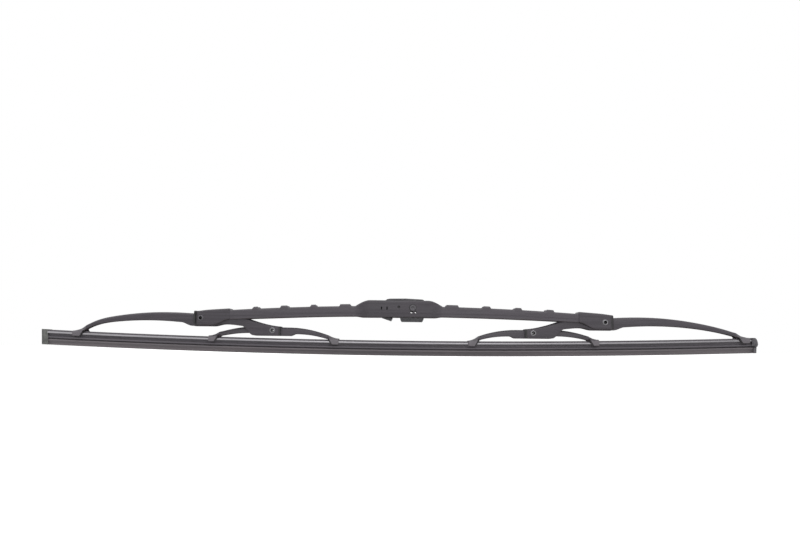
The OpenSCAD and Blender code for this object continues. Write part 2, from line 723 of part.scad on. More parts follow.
module arm_adapter() {
    inner = adapter_w - 2 * cheek_t;
    core_r = pin_d / 2 + 1.5;
    seat_z = core_r + 0.1;
    color(moulded_black) difference() {
        union() {
            for (side = [-1, 1]) translate([0, side * (adapter_w - cheek_t) / 2, 0])
                side_plate(cheek_t) cheek_outline();
            // Core that the hook lies round, with a flat seat on top
            across(2 * core_r, inner + cut);
            side_plate(inner + cut) polygon([
                [-seat_l, seat_z], [1.2, seat_z], [2, seat_z - 0.7], [0, 0], [0.8, -seat_z], [-4, -seat_z],
                [0.4 - nose_back, 0.2], [-seat_l, 0.2]
            ]);
            // Web that ties the cheeks under the hook
            side_plate(inner + cut) polygon([
                [1.2 - nose_back, -nose_depth], [cheek_front - 1.1, -nose_depth],
                [cheek_front - 0.6, -nose_depth + 1.4], [0.7 - nose_back, -nose_depth + 1.4]
            ]);
            // Spring tongue with the release tab
            side_plate(inner - 1) polygon([
                [0.5 - seat_l, seat_z - 0.3], [4.2 - tongue_reach, 2.6], [1 - tongue_reach, 0.6], [-tongue_reach, -3],
                [1.7 - tongue_reach, -7.2], [8 - tongue_reach, -9.2], [9 - tongue_reach, -7.2],
                [4.2 - tongue_reach, -6.2], [2.2 - tongue_reach, -2.8], [3 - tongue_reach, -0.4],
                [5 - tongue_reach, 0.7], [0.5 - seat_l, 1]
            ]);
        }
        across(pin_d + running_gap, adapter_w + 2 * cut);
        // Mouth that lets the core snap over the pin
        translate([-0.45 * pin_d, -inner / 2, -core_r - cut]) cube([0.9 * pin_d, inner, core_r]);
        sight_holes(adapter_w + 2 * cut);
    }
}

arm_adapter();
bridge_pin();
primary_bridge();
bridge_liner(-1);  // left_bridge_liner
bridge_liner(1);  // right_bridge_liner
hollow_rivet(flare_w, left_rivet_x, -bridge_rivet_drop);  // left_bridge_rivet
hollow_rivet(flare_w, right_rivet_x, -bridge_rivet_drop);  // right_bridge_rivet
secondary_yoke(-1);  // left_secondary_yoke
secondary_yoke(1);  // right_secondary_yoke
yoke_liner(-1);  // left_yoke_liner
yoke_liner(1);  // right_yoke_liner
hollow_rivet(yoke_w, left_rivet_x + inner_arm, -yoke_rivet_drop);  // left_yoke_rivet
hollow_rivet(yoke_w, right_rivet_x - inner_arm, -yoke_rivet_drop);  // right_yoke_rivet
tertiary_yoke(-1);  // left_tertiary_yoke
tertiary_yoke(1);  // right_tertiary_yoke
rubber_element();
rail(-1);  // front_rail
rail(1);  // rear_rail
rail_stop();
end_clip();
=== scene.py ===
# %% [markdown]
# # A bracket wiper blade, dressed for a studio picture
# The blade is a small tree of pressed-steel yokes that shares one push from the wiper arm between six claws.
# The imported solids already have the sizes, so this lesson keeps them as the frame and builds finer pieces
# on top: sheet metal with real radii, turned rivets, a moulded clip and a rubber strip in three lengths.

# %% Load the frame
import math

import bmesh
import bpy
from mathutils import Matrix, Vector


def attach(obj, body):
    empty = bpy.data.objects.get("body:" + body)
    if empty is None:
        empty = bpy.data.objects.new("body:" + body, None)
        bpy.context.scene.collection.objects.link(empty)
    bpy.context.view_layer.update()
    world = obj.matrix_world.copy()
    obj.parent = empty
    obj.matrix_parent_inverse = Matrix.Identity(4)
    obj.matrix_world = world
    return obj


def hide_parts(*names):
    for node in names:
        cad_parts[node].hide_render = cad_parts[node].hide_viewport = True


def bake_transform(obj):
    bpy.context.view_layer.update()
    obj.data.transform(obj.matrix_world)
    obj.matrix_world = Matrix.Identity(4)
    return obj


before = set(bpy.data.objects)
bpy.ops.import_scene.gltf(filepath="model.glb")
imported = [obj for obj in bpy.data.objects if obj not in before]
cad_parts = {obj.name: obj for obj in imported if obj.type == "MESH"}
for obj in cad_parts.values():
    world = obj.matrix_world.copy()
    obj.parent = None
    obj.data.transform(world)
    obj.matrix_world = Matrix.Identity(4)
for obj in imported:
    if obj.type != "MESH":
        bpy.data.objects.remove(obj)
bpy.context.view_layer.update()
print("nodes:", len(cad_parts))

# %% [markdown]
# ## The blade's own measures
# Every piece below takes its place from a few sizes of the real blade, in millimetres. The origin is the
# cross pin of the arm clip, X runs along the blade, Y across it and Z away from the glass. Working in
# millimetres keeps the numbers readable, and each piece is scaled to metres once, when it is finished.

# %% Sizes in millimetres
MM = 0.001
ELEMENT_LEFT = -275.2
ELEMENT_RIGHT = 255.5
BOW_RADIUS = 6750.0
PIN_ABOVE_RAIL = 25.8
RAIL_T = 1.3
RAIL_DROP = 0.25
RAIL_W = 3.1
RAIL_INSET = 4.2
WEB_W = 2.2
CROWN_TOP = 1.6
LIP_DROP = 9.5
STEEL_T = 1.0
PRESS_R = 1.6
FRAME_MIDDLE = -7.2
RIVET_X = 150.0
BRIDGE_RIVET_Z = -9.1
YOKE_RIVET_Z = -17.6
BRIDGE_W = 11.9
FLARE_W = 13.2
BOX_W = 15.5
YOKE_W = 9.6
TERTIARY_W = 6.0
BOX_LEFT = 42.8
BOX_RIGHT = 22.4
BOX_TOP = 5.6
BOX_RAMP = 11.4
PIN_D = 4.2
PIN_PLAY = 0.1
INNER_ARM = 53.1
OUTER_CLAW_REACH = {-1: 91.5, 1: 104.0}
MID_CLAW_REACH = {-1: 45.3, 1: 45.5}
SEAM_REACH = {-1: 45.6, 1: 46.2}
JAW_RAMP = 2.1
CLAW_T = 0.8
CLAW_GAP = 0.22
RAILS_HALF = WEB_W / 2 + RAIL_W
CLAW_HALF = RAILS_HALF + CLAW_GAP + CLAW_T
CLAW_BOTTOM = -RAIL_T / 2 - RAIL_DROP - CLAW_GAP - CLAW_T
SIDE_NAME = {-1: "left", 1: "right"}


def ease(u):
    """Goes smoothly from 0 to 1 as u does."""
    u = min(max(u, 0.0), 1.0)
    return u * u * (3 - 2 * u)


def share(u):
    """Goes straight from 0 to 1 as u does."""
    return min(max(u, 0.0), 1.0)


def fall(distance, radius):
    """How far an arc has dropped at a distance from its crest."""
    return radius - math.sqrt(radius * radius - distance * distance)


def rail_z(x):
    return -PIN_ABOVE_RAIL + fall(x, BOW_RADIUS)


def rail_place(x):
    """Where the rubber's section sits at a place along the blade, turned with the bow."""
    return Matrix.Translation((x, 0, rail_z(x))) @ Matrix.Rotation(-math.asin(x / BOW_RADIUS), 4, "Y")


def rivet_at(side):
    return FRAME_MIDDLE + side * RIVET_X


print("rail middle under the pin:", rail_z(0), "at the left end:", round(rail_z(ELEMENT_LEFT), 2))

# %% [markdown]
# ## A small language for materials
# A shader is maths on sockets. One class wraps a socket, so that `mask * 0.5 + grain` adds the Math nodes by
# itself. Any other node comes from one method that takes its type, its settings and its sockets.

# %% Sockets as numbers


class Wire:
    """A socket that can be used in a Python expression on values."""

    def __init__(self, recipe, socket):
        self.recipe = recipe
        self.socket = socket

    def maths(self, operation, other):
        return self.recipe.node("Math", {"operation": operation}, {0: self, 1: other})

    def __add__(self, other):
        return self.maths("ADD", other)

    def __mul__(self, other):
        return self.maths("MULTIPLY", other)


class Recipe:
    """The node tree of one material or of the world."""

    def __init__(self, owner):
        owner.use_nodes = True
        self.tree = owner.node_tree
        self.tree.nodes.clear()

    def node(self, kind, settings=None, sockets=None, out=0):
        made = self.tree.nodes.new("ShaderNode" + kind)
        for name, value in (settings or {}).items():
            if name == "stops":
                ramp = made.color_ramp
                for k, (place, colour) in enumerate(value):
                    stop = ramp.elements[k] if k < 2 else ramp.elements.new(place)
                    stop.position = place
                    stop.color = (*colour, 1)
            else:
                setattr(made, name, value)
        for name, value in (sockets or {}).items():
            if isinstance(value, Wire):
                self.tree.links.new(value.socket, made.inputs[name])
            else:
                made.inputs[name].default_value = value
        return Wire(self, made.outputs[out]) if len(made.outputs) else None

    def blend(self, factor, first, second):
        return self.node("Mix", {"data_type": "RGBA"}, {0: factor, 6: first, 7: second}, out=2)

    def grain(self, scale, stretch=(1, 1, 1), detail=3.0, roughness=0.5):
        """Noise of about one patch per millimetre at scale 1, stretched along an axis."""
        place = self.node("TexCoord", out="Object")
        moved = self.node("Mapping", {}, {"Vector": place, "Scale": [s / MM for s in stretch]})
        return self.node(
            "TexNoise", {}, {"Vector": moved, "Scale": scale, "Detail": detail, "Roughness": roughness}
        )

    def between(self, value, low, high, to_low=0.0, to_high=1.0):
        """value read from low..high to to_low..to_high, and held at the ends."""
        return self.node("MapRange", {"clamp": True}, {0: value, 1: low, 2: high, 3: to_low, 4: to_high})

    def mark(self, name):
        """A number that a piece's mesh carries on its vertices."""
        return self.node("Attribute", {"attribute_name": name}, out="Fac")


def srgb(red, green, blue):
    """An 8-bit colour as the linear values that a shader takes."""
    linear = [c / 255 / 12.92 if c <= 10 else ((c / 255 + 0.055) / 1.055) ** 2.4 for c in (red, green, blue)]
    return (*linear, 1)


def finish_with(name, colour, roughness, height=None, bump_mm=0.05, bump_strength=0.6, **constants):
    """Builds a material: each of colour, roughness and height is a function of the recipe."""
    material = bpy.data.materials.new(name)
    recipe = Recipe(material)
    sockets = {"Base Color": colour(recipe), "Roughness": roughness(recipe)}
    if height:
        sockets["Normal"] = recipe.node(
            "Bump", {}, {"Strength": bump_strength, "Distance": bump_mm * MM, "Height": height(recipe)}
        )
    for socket, value in constants.items():
        sockets[socket.replace("_", " ")] = value
    surface = recipe.node("BsdfPrincipled", {}, sockets)
    recipe.node("OutputMaterial", {}, {"Surface": surface})
    print("material", name, len(recipe.tree.nodes), "nodes")
    return material


# %% [markdown]
# ## Painted steel
# The frame is pressed steel in a satin black powder coat that looks mid grey under soft light. The rollers
# of the strip mill leave long faint streaks, the coat has a fine orange peel, and it is thin and brownish on
# the cut edge of the sheet. Noise stretched along X gives the streaks. Three marks on the mesh do the rest.
# The first is the cut edge and the ends of the sheet, painted darker brown: partly the thin coat, partly
# painted shade along the lower edges. The second is the fold under the back, which gets a painted highlight.
# The third paints light and shade: the flares, the box and the inner arms darker, the rolled ends of the
# flares nearly black, and the claws lighter as a highlight, with painted shade along their front edge.

# %% Painted steel


def painted_steel(name, tone, brown):
    def colour(r):
        streaks = r.grain(0.9, stretch=(0.012, 1, 1), detail=4)
        clouds = r.grain(0.05, detail=2)
        dark = srgb(*[c - 5 for c in tone])
        pale = srgb(*[c + 6 for c in tone])
        coat = r.blend(r.between(streaks, 0.36, 0.64), dark, pale)
        coat = r.blend(r.between(clouds, 0.4, 0.62) * 0.35, coat, srgb(tone[0] + 5, tone[1] + 2, tone[2] + 4))
        # Darker brown on the cut edge: partly a thinner coat, partly painted shade along the lower edges.
        edge = r.between(r.mark("rim") + r.grain(0.7) * 0.5, 0.85, 1.25)
        coat = r.blend(edge * 0.75, coat, srgb(*brown))
        # A painted highlight along the shoulder fold, where the top light catches the bend.
        painted_highlight = r.between(r.mark("shoulder_highlight") + r.grain(0.5) * 0.3, 0.75, 1.2)
        coat = r.blend(painted_highlight * 0.5, coat, srgb(tone[0] + 16, tone[1] + 19, tone[2] + 16))
        dust = r.between(r.grain(2.6, detail=2), 0.7, 0.76)
        coat = r.blend(dust * 0.4, coat, srgb(118, 116, 116))
        # The tone mark is painted light and shade: paler towards 1, darker towards -1.
        coat = r.blend(r.between(r.mark("tone"), 0, 1), coat, srgb(158, 153, 158))
        return r.blend(r.between(r.mark("tone"), -1, 0, 1, 0), coat, srgb(14, 13, 14))

    def roughness(r):
        return r.between(r.grain(0.35, stretch=(0.1, 1, 1)), 0.3, 0.7, 0.4, 0.56) + r.mark("rim") * 0.08

    def height(r):
        return r.grain(1.7, detail=2) * 0.55 + r.grain(0.6, stretch=(0.02, 1, 1)) * 0.6

    return finish_with(name, colour, roughness, height, bump_mm=0.045, Specular_IOR_Level=0.42)


bridge_paint = painted_steel("bridge_paint", (61, 57, 63), (52, 42, 40))
yoke_paint = painted_steel("yoke_paint", (60, 56, 62), (52, 43, 42))

# %% [markdown]
# ## Bare metal, plastics and rubber
# The rails are bright rolled stainless steel, so they get a metal with fine lines along X, and they are a
# little darker towards the right end. The rivets are zinc plated. Liners are smooth nylon, the clip is a
# rougher moulding with a grainy skin, and the rubber is matt. Its head is painted darker than the lip, partly
# as painted shade under the rails and claws and partly for the paler graphite coat on the lip where the blade
# wipes.

# %% Rails and rivets


def rail_colour(r):
    lines = r.grain(3.2, stretch=(0.01, 1, 1), detail=3)
    steel = r.blend(r.between(lines, 0.3, 0.7), srgb(154, 152, 156), srgb(180, 178, 182))
    stain = r.between(r.grain(0.04, stretch=(1, 1, 1), detail=3), 0.52, 0.7)
    steel = r.blend(stain * 0.3, steel, srgb(126, 123, 124))
    # The rails' colour darkens towards the right end.
    darker_to_right = r.between(r.mark("along"), -220, 220, 0.1, 0.75)
    return r.blend(darker_to_right, steel, srgb(112, 110, 113))


rail_steel = finish_with(
    "rail_steel",
    rail_colour,
    lambda r: r.between(r.grain(2.4, stretch=(0.01, 1, 1)), 0.3, 0.7, 0.26, 0.42),
    lambda r: r.grain(5.0, stretch=(0.01, 1, 1), detail=2),
    bump_mm=0.008,
    Metallic=0.85,
)


def zinc(name, dark, light):
    def colour(r):
        spangle = r.grain(1.6, detail=4, roughness=0.65)
        plating = r.blend(r.between(spangle, 0.34, 0.66), srgb(*dark), srgb(*light))
        # Painted shade: near black inside the bore of a rivet and on the outer rim of the pin.
        return r.blend(r.between(r.mark("deep"), 0.15, 0.6), plating, srgb(34, 33, 34))

    return finish_with(
        name,
        colour,
        lambda r: r.between(r.grain(2.2), 0.3, 0.7, 0.34, 0.5),
        lambda r: r.grain(2.8, detail=2),
        bump_mm=0.02,
        Metallic=0.7,
    )


bright_zinc = zinc("bright_zinc", (98, 97, 100), (138, 137, 140))
painted_over_zinc = zinc("painted_over_zinc", (70, 68, 72), (104, 102, 106))
pin_zinc = zinc("pin_zinc", (60, 58, 62), (92, 90, 93))

# %% Nylon and the clip's moulding
def nylon_like(name, dark, light):
    return finish_with(
        name,
        lambda r: r.blend(r.between(r.grain(0.5), 0.35, 0.65), srgb(*dark), srgb(*light)),
        lambda r: r.between(r.grain(1.1), 0.3, 0.7, 0.42, 0.56),
        lambda r: r.grain(1.5, detail=2),
        bump_mm=0.02,
    )


nylon = nylon_like("nylon", (18, 18, 19), (28, 28, 29))
clip_nylon = nylon_like("clip_nylon", (64, 62, 66), (92, 90, 94))
stop_nylon = nylon_like("stop_nylon", (76, 77, 75), (100, 101, 98))


def moulded_colour(r):
    blotch = r.between(r.grain(0.55, detail=4, roughness=0.6), 0.36, 0.64)
    skin = r.blend(blotch, srgb(44, 43, 46), srgb(64, 63, 66))
    scuff = r.between(r.grain(1.5, detail=3), 0.6, 0.7)
    return r.blend(scuff * 0.55, skin, srgb(98, 97, 100))


moulding = finish_with(
    "moulding",
    moulded_colour,
    lambda r: r.between(r.grain(0.9), 0.3, 0.7, 0.5, 0.68),
    lambda r: r.grain(2.4, detail=3, roughness=0.6) + r.grain(0.5) * 0.6,
    bump_mm=0.07,
    bump_strength=0.8,
)

# %% Rubber


def rubber_colour(r):
    level = r.mark("level")
    # The head is painted darker than the lip: partly painted shade under the rails and claws, partly the
    # lip's paler graphite coat.
    lip = r.between(level, -4.9, -5.3)
    drawn = r.between(r.grain(0.4, stretch=(0.02, 1, 1)), 0.35, 0.65)
    wiped = r.between(r.grain(0.7, stretch=(0.015, 1, 1)), 0.35, 0.65)
    body = r.blend(drawn, srgb(85, 82, 87), srgb(97, 93, 98))
    coat = r.blend(wiped, srgb(99, 95, 98), srgb(112, 106, 109))
    skin = r.blend(lip, body, coat)
    chalk = r.between(r.grain(1.2, detail=4), 0.6, 0.74)
    return r.blend(chalk * 0.25, skin, srgb(122, 118, 119))


rubber = finish_with(
    "rubber",
    rubber_colour,
    lambda r: r.between(r.grain(0.8), 0.3, 0.7, 0.6, 0.78),
    lambda r: r.grain(1.8, detail=3) * 0.5 + r.grain(0.9, stretch=(0.01, 1, 1)) * 0.7,
    bump_mm=0.04,
    Specular_IOR_Level=0.35,
)

# %% [markdown]
# ## From a drawing in millimetres to a piece
# Modifiers are a quick way to thicken a sheet or round its edges, so one helper runs them on a mesh and
# takes the result back. Another scales the mesh to metres, marks the sharp edges so that the round ones
# shade smoothly, and ties the piece to the body that it moves with.

# %% Helpers for every piece


def object_from(bm, name):
    """Turns a mesh under construction into an object of the scene."""
    mesh = bpy.data.meshes.new(name)
    bm.to_mesh(mesh)
    bm.free()
    made = bpy.data.objects.new(name, mesh)
    bpy.context.scene.collection.objects.link(made)
    return made


def discard(*objects):
    """Removes working objects and their meshes."""
    for made in objects:
        mesh = made.data
        bpy.data.objects.remove(made)
        bpy.data.meshes.remove(mesh)


def with_modifiers(bm, *steps):
    """Runs (type, settings) modifiers on a mesh and hands back the new mesh."""
    work = object_from(bm, "work")
    for kind, settings in steps:
        modifier = work.modifiers.new(kind, kind)
        for name, value in settings.items():
            setattr(modifier, name, value)
    bpy.context.view_layer.update()
    made = bpy.data.meshes.new_from_object(work.evaluated_get(bpy.context.evaluated_depsgraph_get()))
    result = bmesh.new()
    result.from_mesh(made)
    bpy.data.meshes.remove(made)
    discard(work)
    return result


def piece_from(bm, name, material, body=None, stands_for=(), sharp=35):
    """Makes a piece of a mesh in millimetres. A piece with no body is not tied to one here."""
    bmesh.ops.scale(bm, vec=(MM, MM, MM), verts=bm.verts)
    for face in bm.faces:
        face.smooth = True
    for edge in bm.edges:
        edge.smooth = len(edge.link_faces) == 2 and edge.calc_face_angle(0) < math.radians(sharp)
    piece = object_from(bm, name)
    piece.data.materials.append(material)
    if body:
        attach(piece, body)
    if stands_for:
        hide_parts(*stands_for)
    print(name, len(piece.data.polygons), "faces")
    return piece


def fused(parts):
    """Joins closed meshes into one skin."""
    whole = parts[0]
    for part in parts[1:]:
        tool = object_from(part, "part")
        whole = with_modifiers(whole, ("BOOLEAN", {"object": tool, "operation": "UNION", "solver": "EXACT"}))
        discard(tool)
    return whole


def thickened(wall):
    """The Solidify modifier that gives a sheet its thickness inwards."""
    return "SOLIDIFY", {"thickness": wall, "offset": -1, "use_even_offset": True}


def cut_by(cutter):
    """The Boolean modifier that takes a cutter's volume away."""
    return "BOOLEAN", {"object": cutter, "operation": "DIFFERENCE", "solver": "EXACT"}


def rounded_edges(width, segments=2, angle=40):
    """The Bevel modifier that softens a piece's edges."""
    limit = {"limit_method": "ANGLE", "angle_limit": math.radians(angle)}
    return "BEVEL", {"width": width, "segments": segments, **limit}


def spaced(*marks):
    """Places along X: each mark is where a stretch starts and the step it is walked with."""
    places = []
    for (start, step), (end, _) in zip(marks, marks[1:]):
        count = max(1, round(abs(end - start) / step))
        places += [start + (end - start) * k / count for k in range(count)]
    return places + [marks[-1][0]]


# %% [markdown]
# ## Folding a strip of sheet steel
# Each yoke starts life as a flat blank that a press folds into a channel. The script does the same: a flat
# grid is made by one operator, every row of it is laid round the section at its place along the blade, and
# Solidify gives the sheet its thickness inwards. This keeps long clean rows of faces, so that the light runs
# along the metal as on the real one.

# %% The folded channel
SIDE_N = 12
ROUND_N = 6
FLAT_N = 5
ACROSS_N = 2 * (SIDE_N + ROUND_N + FLAT_N)


def arch(top, edge, half, radius):
    """Points round the channel's section, from one lower edge over the top to the other."""
    r = min(radius, 0.8 * half, 0.8 * (top - edge))
    side = [(-half, edge + (top - r - edge) * k / SIDE_N) for k in range(SIDE_N)]
    turns = [math.pi / 2 * k / ROUND_N for k in range(ROUND_N)]
    corner = [(-half + r - r * math.cos(t), top - r + r * math.sin(t)) for t in turns]
    flat = [(-half + r + (half - r) * k / FLAT_N, top) for k in range(FLAT_N + 1)]
    left = side + corner + flat
    return left + [(-y, z) for y, z in reversed(left[:-1])]


def folded_sheet(places, shape, painted_light, dress=None):
    """Lays a flat grid round the section at each place. shape gives (top, edge, half width)."""
    bm = bmesh.new()
    rim = bm.verts.layers.float.new("rim")
    shoulder_highlight = bm.verts.layers.float.new("shoulder_highlight")
    tone = bm.verts.layers.float.new("tone")
    column = bm.verts.layers.int.new("column")
    last = len(places) - 1
    bmesh.ops.create_grid(bm, x_segments=last, y_segments=ACROSS_N, size=1)
    sizes = [shape(x) for x in places]
    sections = [arch(top, edge, half, PRESS_R) for top, edge, half in sizes]
    for vert in bm.verts:
        i = round((vert.co.x + 1) / 2 * last)
        j = round((vert.co.y + 1) / 2 * ACROSS_N)
        top, edge, half = sizes[i]
        y, z = sections[i][j]
        end = min(abs(places[i] - places[0]), abs(places[i] - places[last]))
        # Cut edge and ends of the sheet: darker brown paint, partly painted shade.
        vert[rim] = max(0.0, 1 - min(z - edge if abs(y) > half - 0.1 else 9.0, end) / 1.3)
        # The fold under the back, where the paint carries a painted highlight.
        vert[shoulder_highlight] = max(0.0, 1 - abs(z - (top - 0.45)) / 1.1) if abs(y) > half - PRESS_R else 0.0
        # Painted light and shade along the sheet, from the piece's own function.
        vert[tone] = painted_light(places[i], z)
        vert[column] = j
        vert.co = (dress or drawn_wall)(places[i], y, z, top, edge, half)
    bm.normal_update()
    return bm


def drawn_wall(x, y, z, top, edge, half):
    """Bulges the side walls a little at mid height."""
    if abs(y) < half - 0.05:
        return x, y, z
    height = (z - edge) / max(top - edge, 0.1)
    return x, y + math.copysign(0.14 * math.sin(math.pi * min(height, 1)), y), z


def open_roof(bm, chosen):
    """Cuts the flat roof out of a folded sheet where chosen(x) says so, and returns the number of faces."""
    column = bm.verts.layers.int["column"]
    first = SIDE_N + ROUND_N
    roof = [
        f for f in bm.faces
        if all(first <= v[column] <= ACROSS_N - first for v in f.verts) and chosen(f.calc_center_median().x)
    ]
    bmesh.ops.delete(bm, geom=roof, context="FACES")
    return len(roof)


# %% [markdown]
# ## The primary bridge
# This is the long top yoke. Its middle widens into an open box for the arm clip, its ends flare out over the
# yokes below, and pairs of small bosses stand on its shoulders to stiffen the spine. All of that is in the
# fold itself, as in the press, so nothing is stuck on.

# %% The bridge's outline
SPINE_RISE = 1.5
SPINE_R = 1930.0
BRIDGE_EDGE_Z = -6.2
BRIDGE_EDGE_R = 2730.0
FLARE_START = {-1: RIVET_X - 21.8, 1: RIVET_X - 19.9}
FLARE_END = {-1: RIVET_X + 3.9, 1: RIVET_X + 6.2}
FLARE_RISE = {-1: 1.15, 1: 1.5}
FLARE_SKIRT = 5.0
BOSSES = [
    (-117.05, 5.1), (-95.8, 6.4), (-73.95, 5.4), (-50.35, 9.1),
    (29.35, 10.4), (55.1, 6.6), (78.6, 6.2), (102.35, 6.6),
]
BOSS_H = 1.5


def side_of(x):
    return -1 if x < FRAME_MIDDLE else 1


def flare_share(x):
    return ease((abs(x - FRAME_MIDDLE) - FLARE_START[side_of(x)]) / 1.2)


def box_share(x):
    return min(max(min(x + BOX_LEFT, BOX_RIGHT - x) / BOX_RAMP, 0), 1)


def spine_z(x):
    return SPINE_RISE - fall(x - FRAME_MIDDLE, SPINE_R)


def bridge_shape(x):
    f = abs(x - FRAME_MIDDLE)
    spine = spine_z(x)
    side = side_of(x)
    top = spine + FLARE_RISE[side] * flare_share(x) - 0.4 * ease((f - FLARE_END[side] + 10) / 10)
    top += (BOX_TOP - spine) * math.sin(math.pi / 2 * box_share(x))
    edge = BRIDGE_EDGE_Z - fall(f, BRIDGE_EDGE_R) - (0.5 * ease((f - 40) / 70) if side < 0 else 0)
    skirt = BRIDGE_RIVET_Z - FLARE_SKIRT
    edge += (skirt - edge) * ease((f - FLARE_START[side] - 1) / 12) - 0.7 * ease(2 * box_share(x))
    half = BRIDGE_W / 2 + (FLARE_W - BRIDGE_W) / 2 * flare_share(x)
    half += (BOX_W - BRIDGE_W) / 2 * ease(box_share(x))
    return top, edge, half


def boss_lift(x):
    return sum(BOSS_H * ease((length / 2 - abs(x - at)) / 0.95) for at, length in BOSSES)


def press_bridge(x, y, z, top, edge, half):
    """Raises the bosses and sets in the lower edge of the walls."""
    lift = boss_lift(x) * ease((abs(y) - 2.1) / 1.0) * ease((z - top + 3.2) / 1.7)
    calm = 1 - flare_share(x)
    step = 0.2 * ease((edge + 2.7 - z) / 0.6) * calm if abs(y) > half - 0.05 else 0.0
    roll = 0.5 * ease((abs(x - FRAME_MIDDLE) - FLARE_END[side_of(x)] + 1.5) / 1.5)
    return x, y - math.copysign(min(step + roll, abs(y)), y), z + lift


def bridge_painted_shade(x, z):
    """Painted shade: the flares and the box are painted darker than the spine, as their walls catch less of
    the top light, and their rolled outer ends nearly black, as the shade in the roll.
    """
    end = share((abs(x - FRAME_MIDDLE) - FLARE_END[side_of(x)] + 1.7) / 0.4)
    return 0.03 - 0.19 * max(flare_share(x), ease(2 * box_share(x))) - 0.5 * end


# %% Press the bridge
left_end = FRAME_MIDDLE - FLARE_END[-1]
right_end = FRAME_MIDDLE + FLARE_END[1]
left_flare = FRAME_MIDDLE - FLARE_START[-1]
right_flare = FRAME_MIDDLE + FLARE_START[1]
bridge_places = spaced(
    (left_end, 0.35), (left_end + 2.4, 1.6), (left_flare - 1.6, 0.25), (left_flare + 0.4, 0.8),
    (-BOX_LEFT, 0.5), (-BOX_LEFT + BOX_RAMP, 1.0), (BOX_RIGHT - BOX_RAMP, 0.5), (BOX_RIGHT, 0.8),
    (right_flare - 0.4, 0.25), (right_flare + 1.6, 1.6), (right_end - 2.4, 0.35), (right_end, 1),
)
bridge = folded_sheet(bridge_places, bridge_shape, bridge_painted_shade, press_bridge)
window_from = -BOX_LEFT + BOX_RAMP - 1.5
window_to = BOX_RIGHT - BOX_RAMP + 1.5
mouth = [
    f for f in bridge.faces
    if window_from < f.calc_center_median().x < window_to
    and abs(f.calc_center_median().y) < BOX_W / 2 - 1.25
    and f.calc_center_median().z > BOX_TOP - 1
]
bmesh.ops.delete(bridge, geom=mouth, context="FACES")
print("bridge grid:", len(bridge.faces), "faces, window of", len(mouth), "taken out")

# %% [markdown]
# ## Holes through the bridge
# A round hole and two slots locate the clip and its spring tongue. Two tiny slots under the pin, each given
# by its width, height and place, let daylight through the box and the clip. A Boolean with one set of round
# cutters makes them after the sheet has its thickness, so each hole shows the true depth of the steel.

# %% Cutters for the small holes


def bar_across(bm, diameter, length, x, z, facets=24):
    """A round bar along Y."""
    turn = Matrix.Translation((x, 0, z)) @ Matrix.Rotation(math.pi / 2, 4, "X")
    radius = diameter / 2
    bar = bmesh.ops.create_cone(
        bm, cap_ends=True, segments=facets, radius1=radius, radius2=radius, depth=length, matrix=turn
    )
    return bar["verts"]


def slot_across(bm, width, height, length, x, z):
    """An upright slot with round ends: the lower and upper halves of a bar are pulled apart."""
    for vert in bar_across(bm, width, length, x, z):
        vert.co.z += math.copysign((height - width) / 2, vert.co.z - z)


def cutter_object(draw):
    bm = bmesh.new()
    draw(bm)
    bmesh.ops.recalc_face_normals(bm, faces=bm.faces)
    return object_from(bm, "cutter")


RIVET_HOLE_D = 2.9
LOCATING_D = 2.0
LOCATING_X = -10.4
LOCATING_Z = 0.6
TONGUE_SLOTS_X = (-23.2, -19.1)
SIGHT_SLOTS = [(1.8, 1.85, -0.9), (1.5, 1.6, 2.1)]
BOX_SIGHT_Z = -3.05
CLIP_SIGHT_Z = -3.2


def bridge_cutters(bm):
    through = BOX_W + 2
    bar_across(bm, LOCATING_D, through, LOCATING_X, LOCATING_Z)
    for x in TONGUE_SLOTS_X:
        slot_across(bm, 1.2, 2.4, through, x, -0.4)
    for width, height, x in SIGHT_SLOTS:
        slot_across(bm, width, height, through, x, BOX_SIGHT_Z)
    for side in (-1, 1):
        bar_across(bm, RIVET_HOLE_D, FLARE_W + 2, rivet_at(side), BRIDGE_RIVET_Z)


cutter = cutter_object(bridge_cutters)
bridge = with_modifiers(
    bridge,
    thickened(STEEL_T),
    rounded_edges(0.16),
    cut_by(cutter),
)
discard(cutter)
piece_from(bridge, "bridge_pressing", bridge_paint, "bridge", ["primary_bridge"])

# %% [markdown]
# ## Claws
# Each claw wraps the rubber's head and both rails, with two small tabs bent in under them. The tabs are
# short bars with rounded edges, set square to the bow of the rubber at their own place.

# %% Claw tabs
TAB_REACH = 1.3
# Each claw has four sizes: how far from its rivet the arm ends, how long the claw is, and how high its back
# stands over the rubber's crown where it starts and where it ends.
ARM_CLAW = {-1: (86.5, 8.5, 4.5, 0.2), 1: (99.0, 8.2, 4.0, 0.3)}
SHORT_CLAW = {
    (-1, -1): (39.95, 7.2, 3.6, 0.7), (-1, 1): (41.35, 7.9, 3.2, 0.9),
    (1, -1): (40.5, 7.7, 3.7, 0.5), (1, 1): (41.6, 7.0, 3.4, 0.9),
}


def claw_tabs(bm, rivet, claw, outwards):
    tip, length = claw[:2]
    x = rivet + outwards * (tip + (length + JAW_RAMP) / 2)
    inner = RAILS_HALF + CLAW_GAP - TAB_REACH
    outer = CLAW_HALF - 0.15
    for side in (-1, 1):
        tab = bmesh.ops.create_cube(bm, size=1)["verts"]
        bmesh.ops.scale(bm, vec=(length - JAW_RAMP - 0.9, outer - inner, CLAW_T), verts=tab)
        lift = Matrix.Translation((0, side * (inner + outer) / 2, CLAW_BOTTOM + CLAW_T / 2))
        bmesh.ops.transform(bm, matrix=rail_place(x) @ lift, verts=tab)
        edges = list({edge for vert in tab for edge in vert.link_edges})
        bmesh.ops.bevel(
            bm, geom=edges, offset=0.18, offset_type="OFFSET", segments=2, profile=0.5,
            affect="EDGES", material=-1,
        )


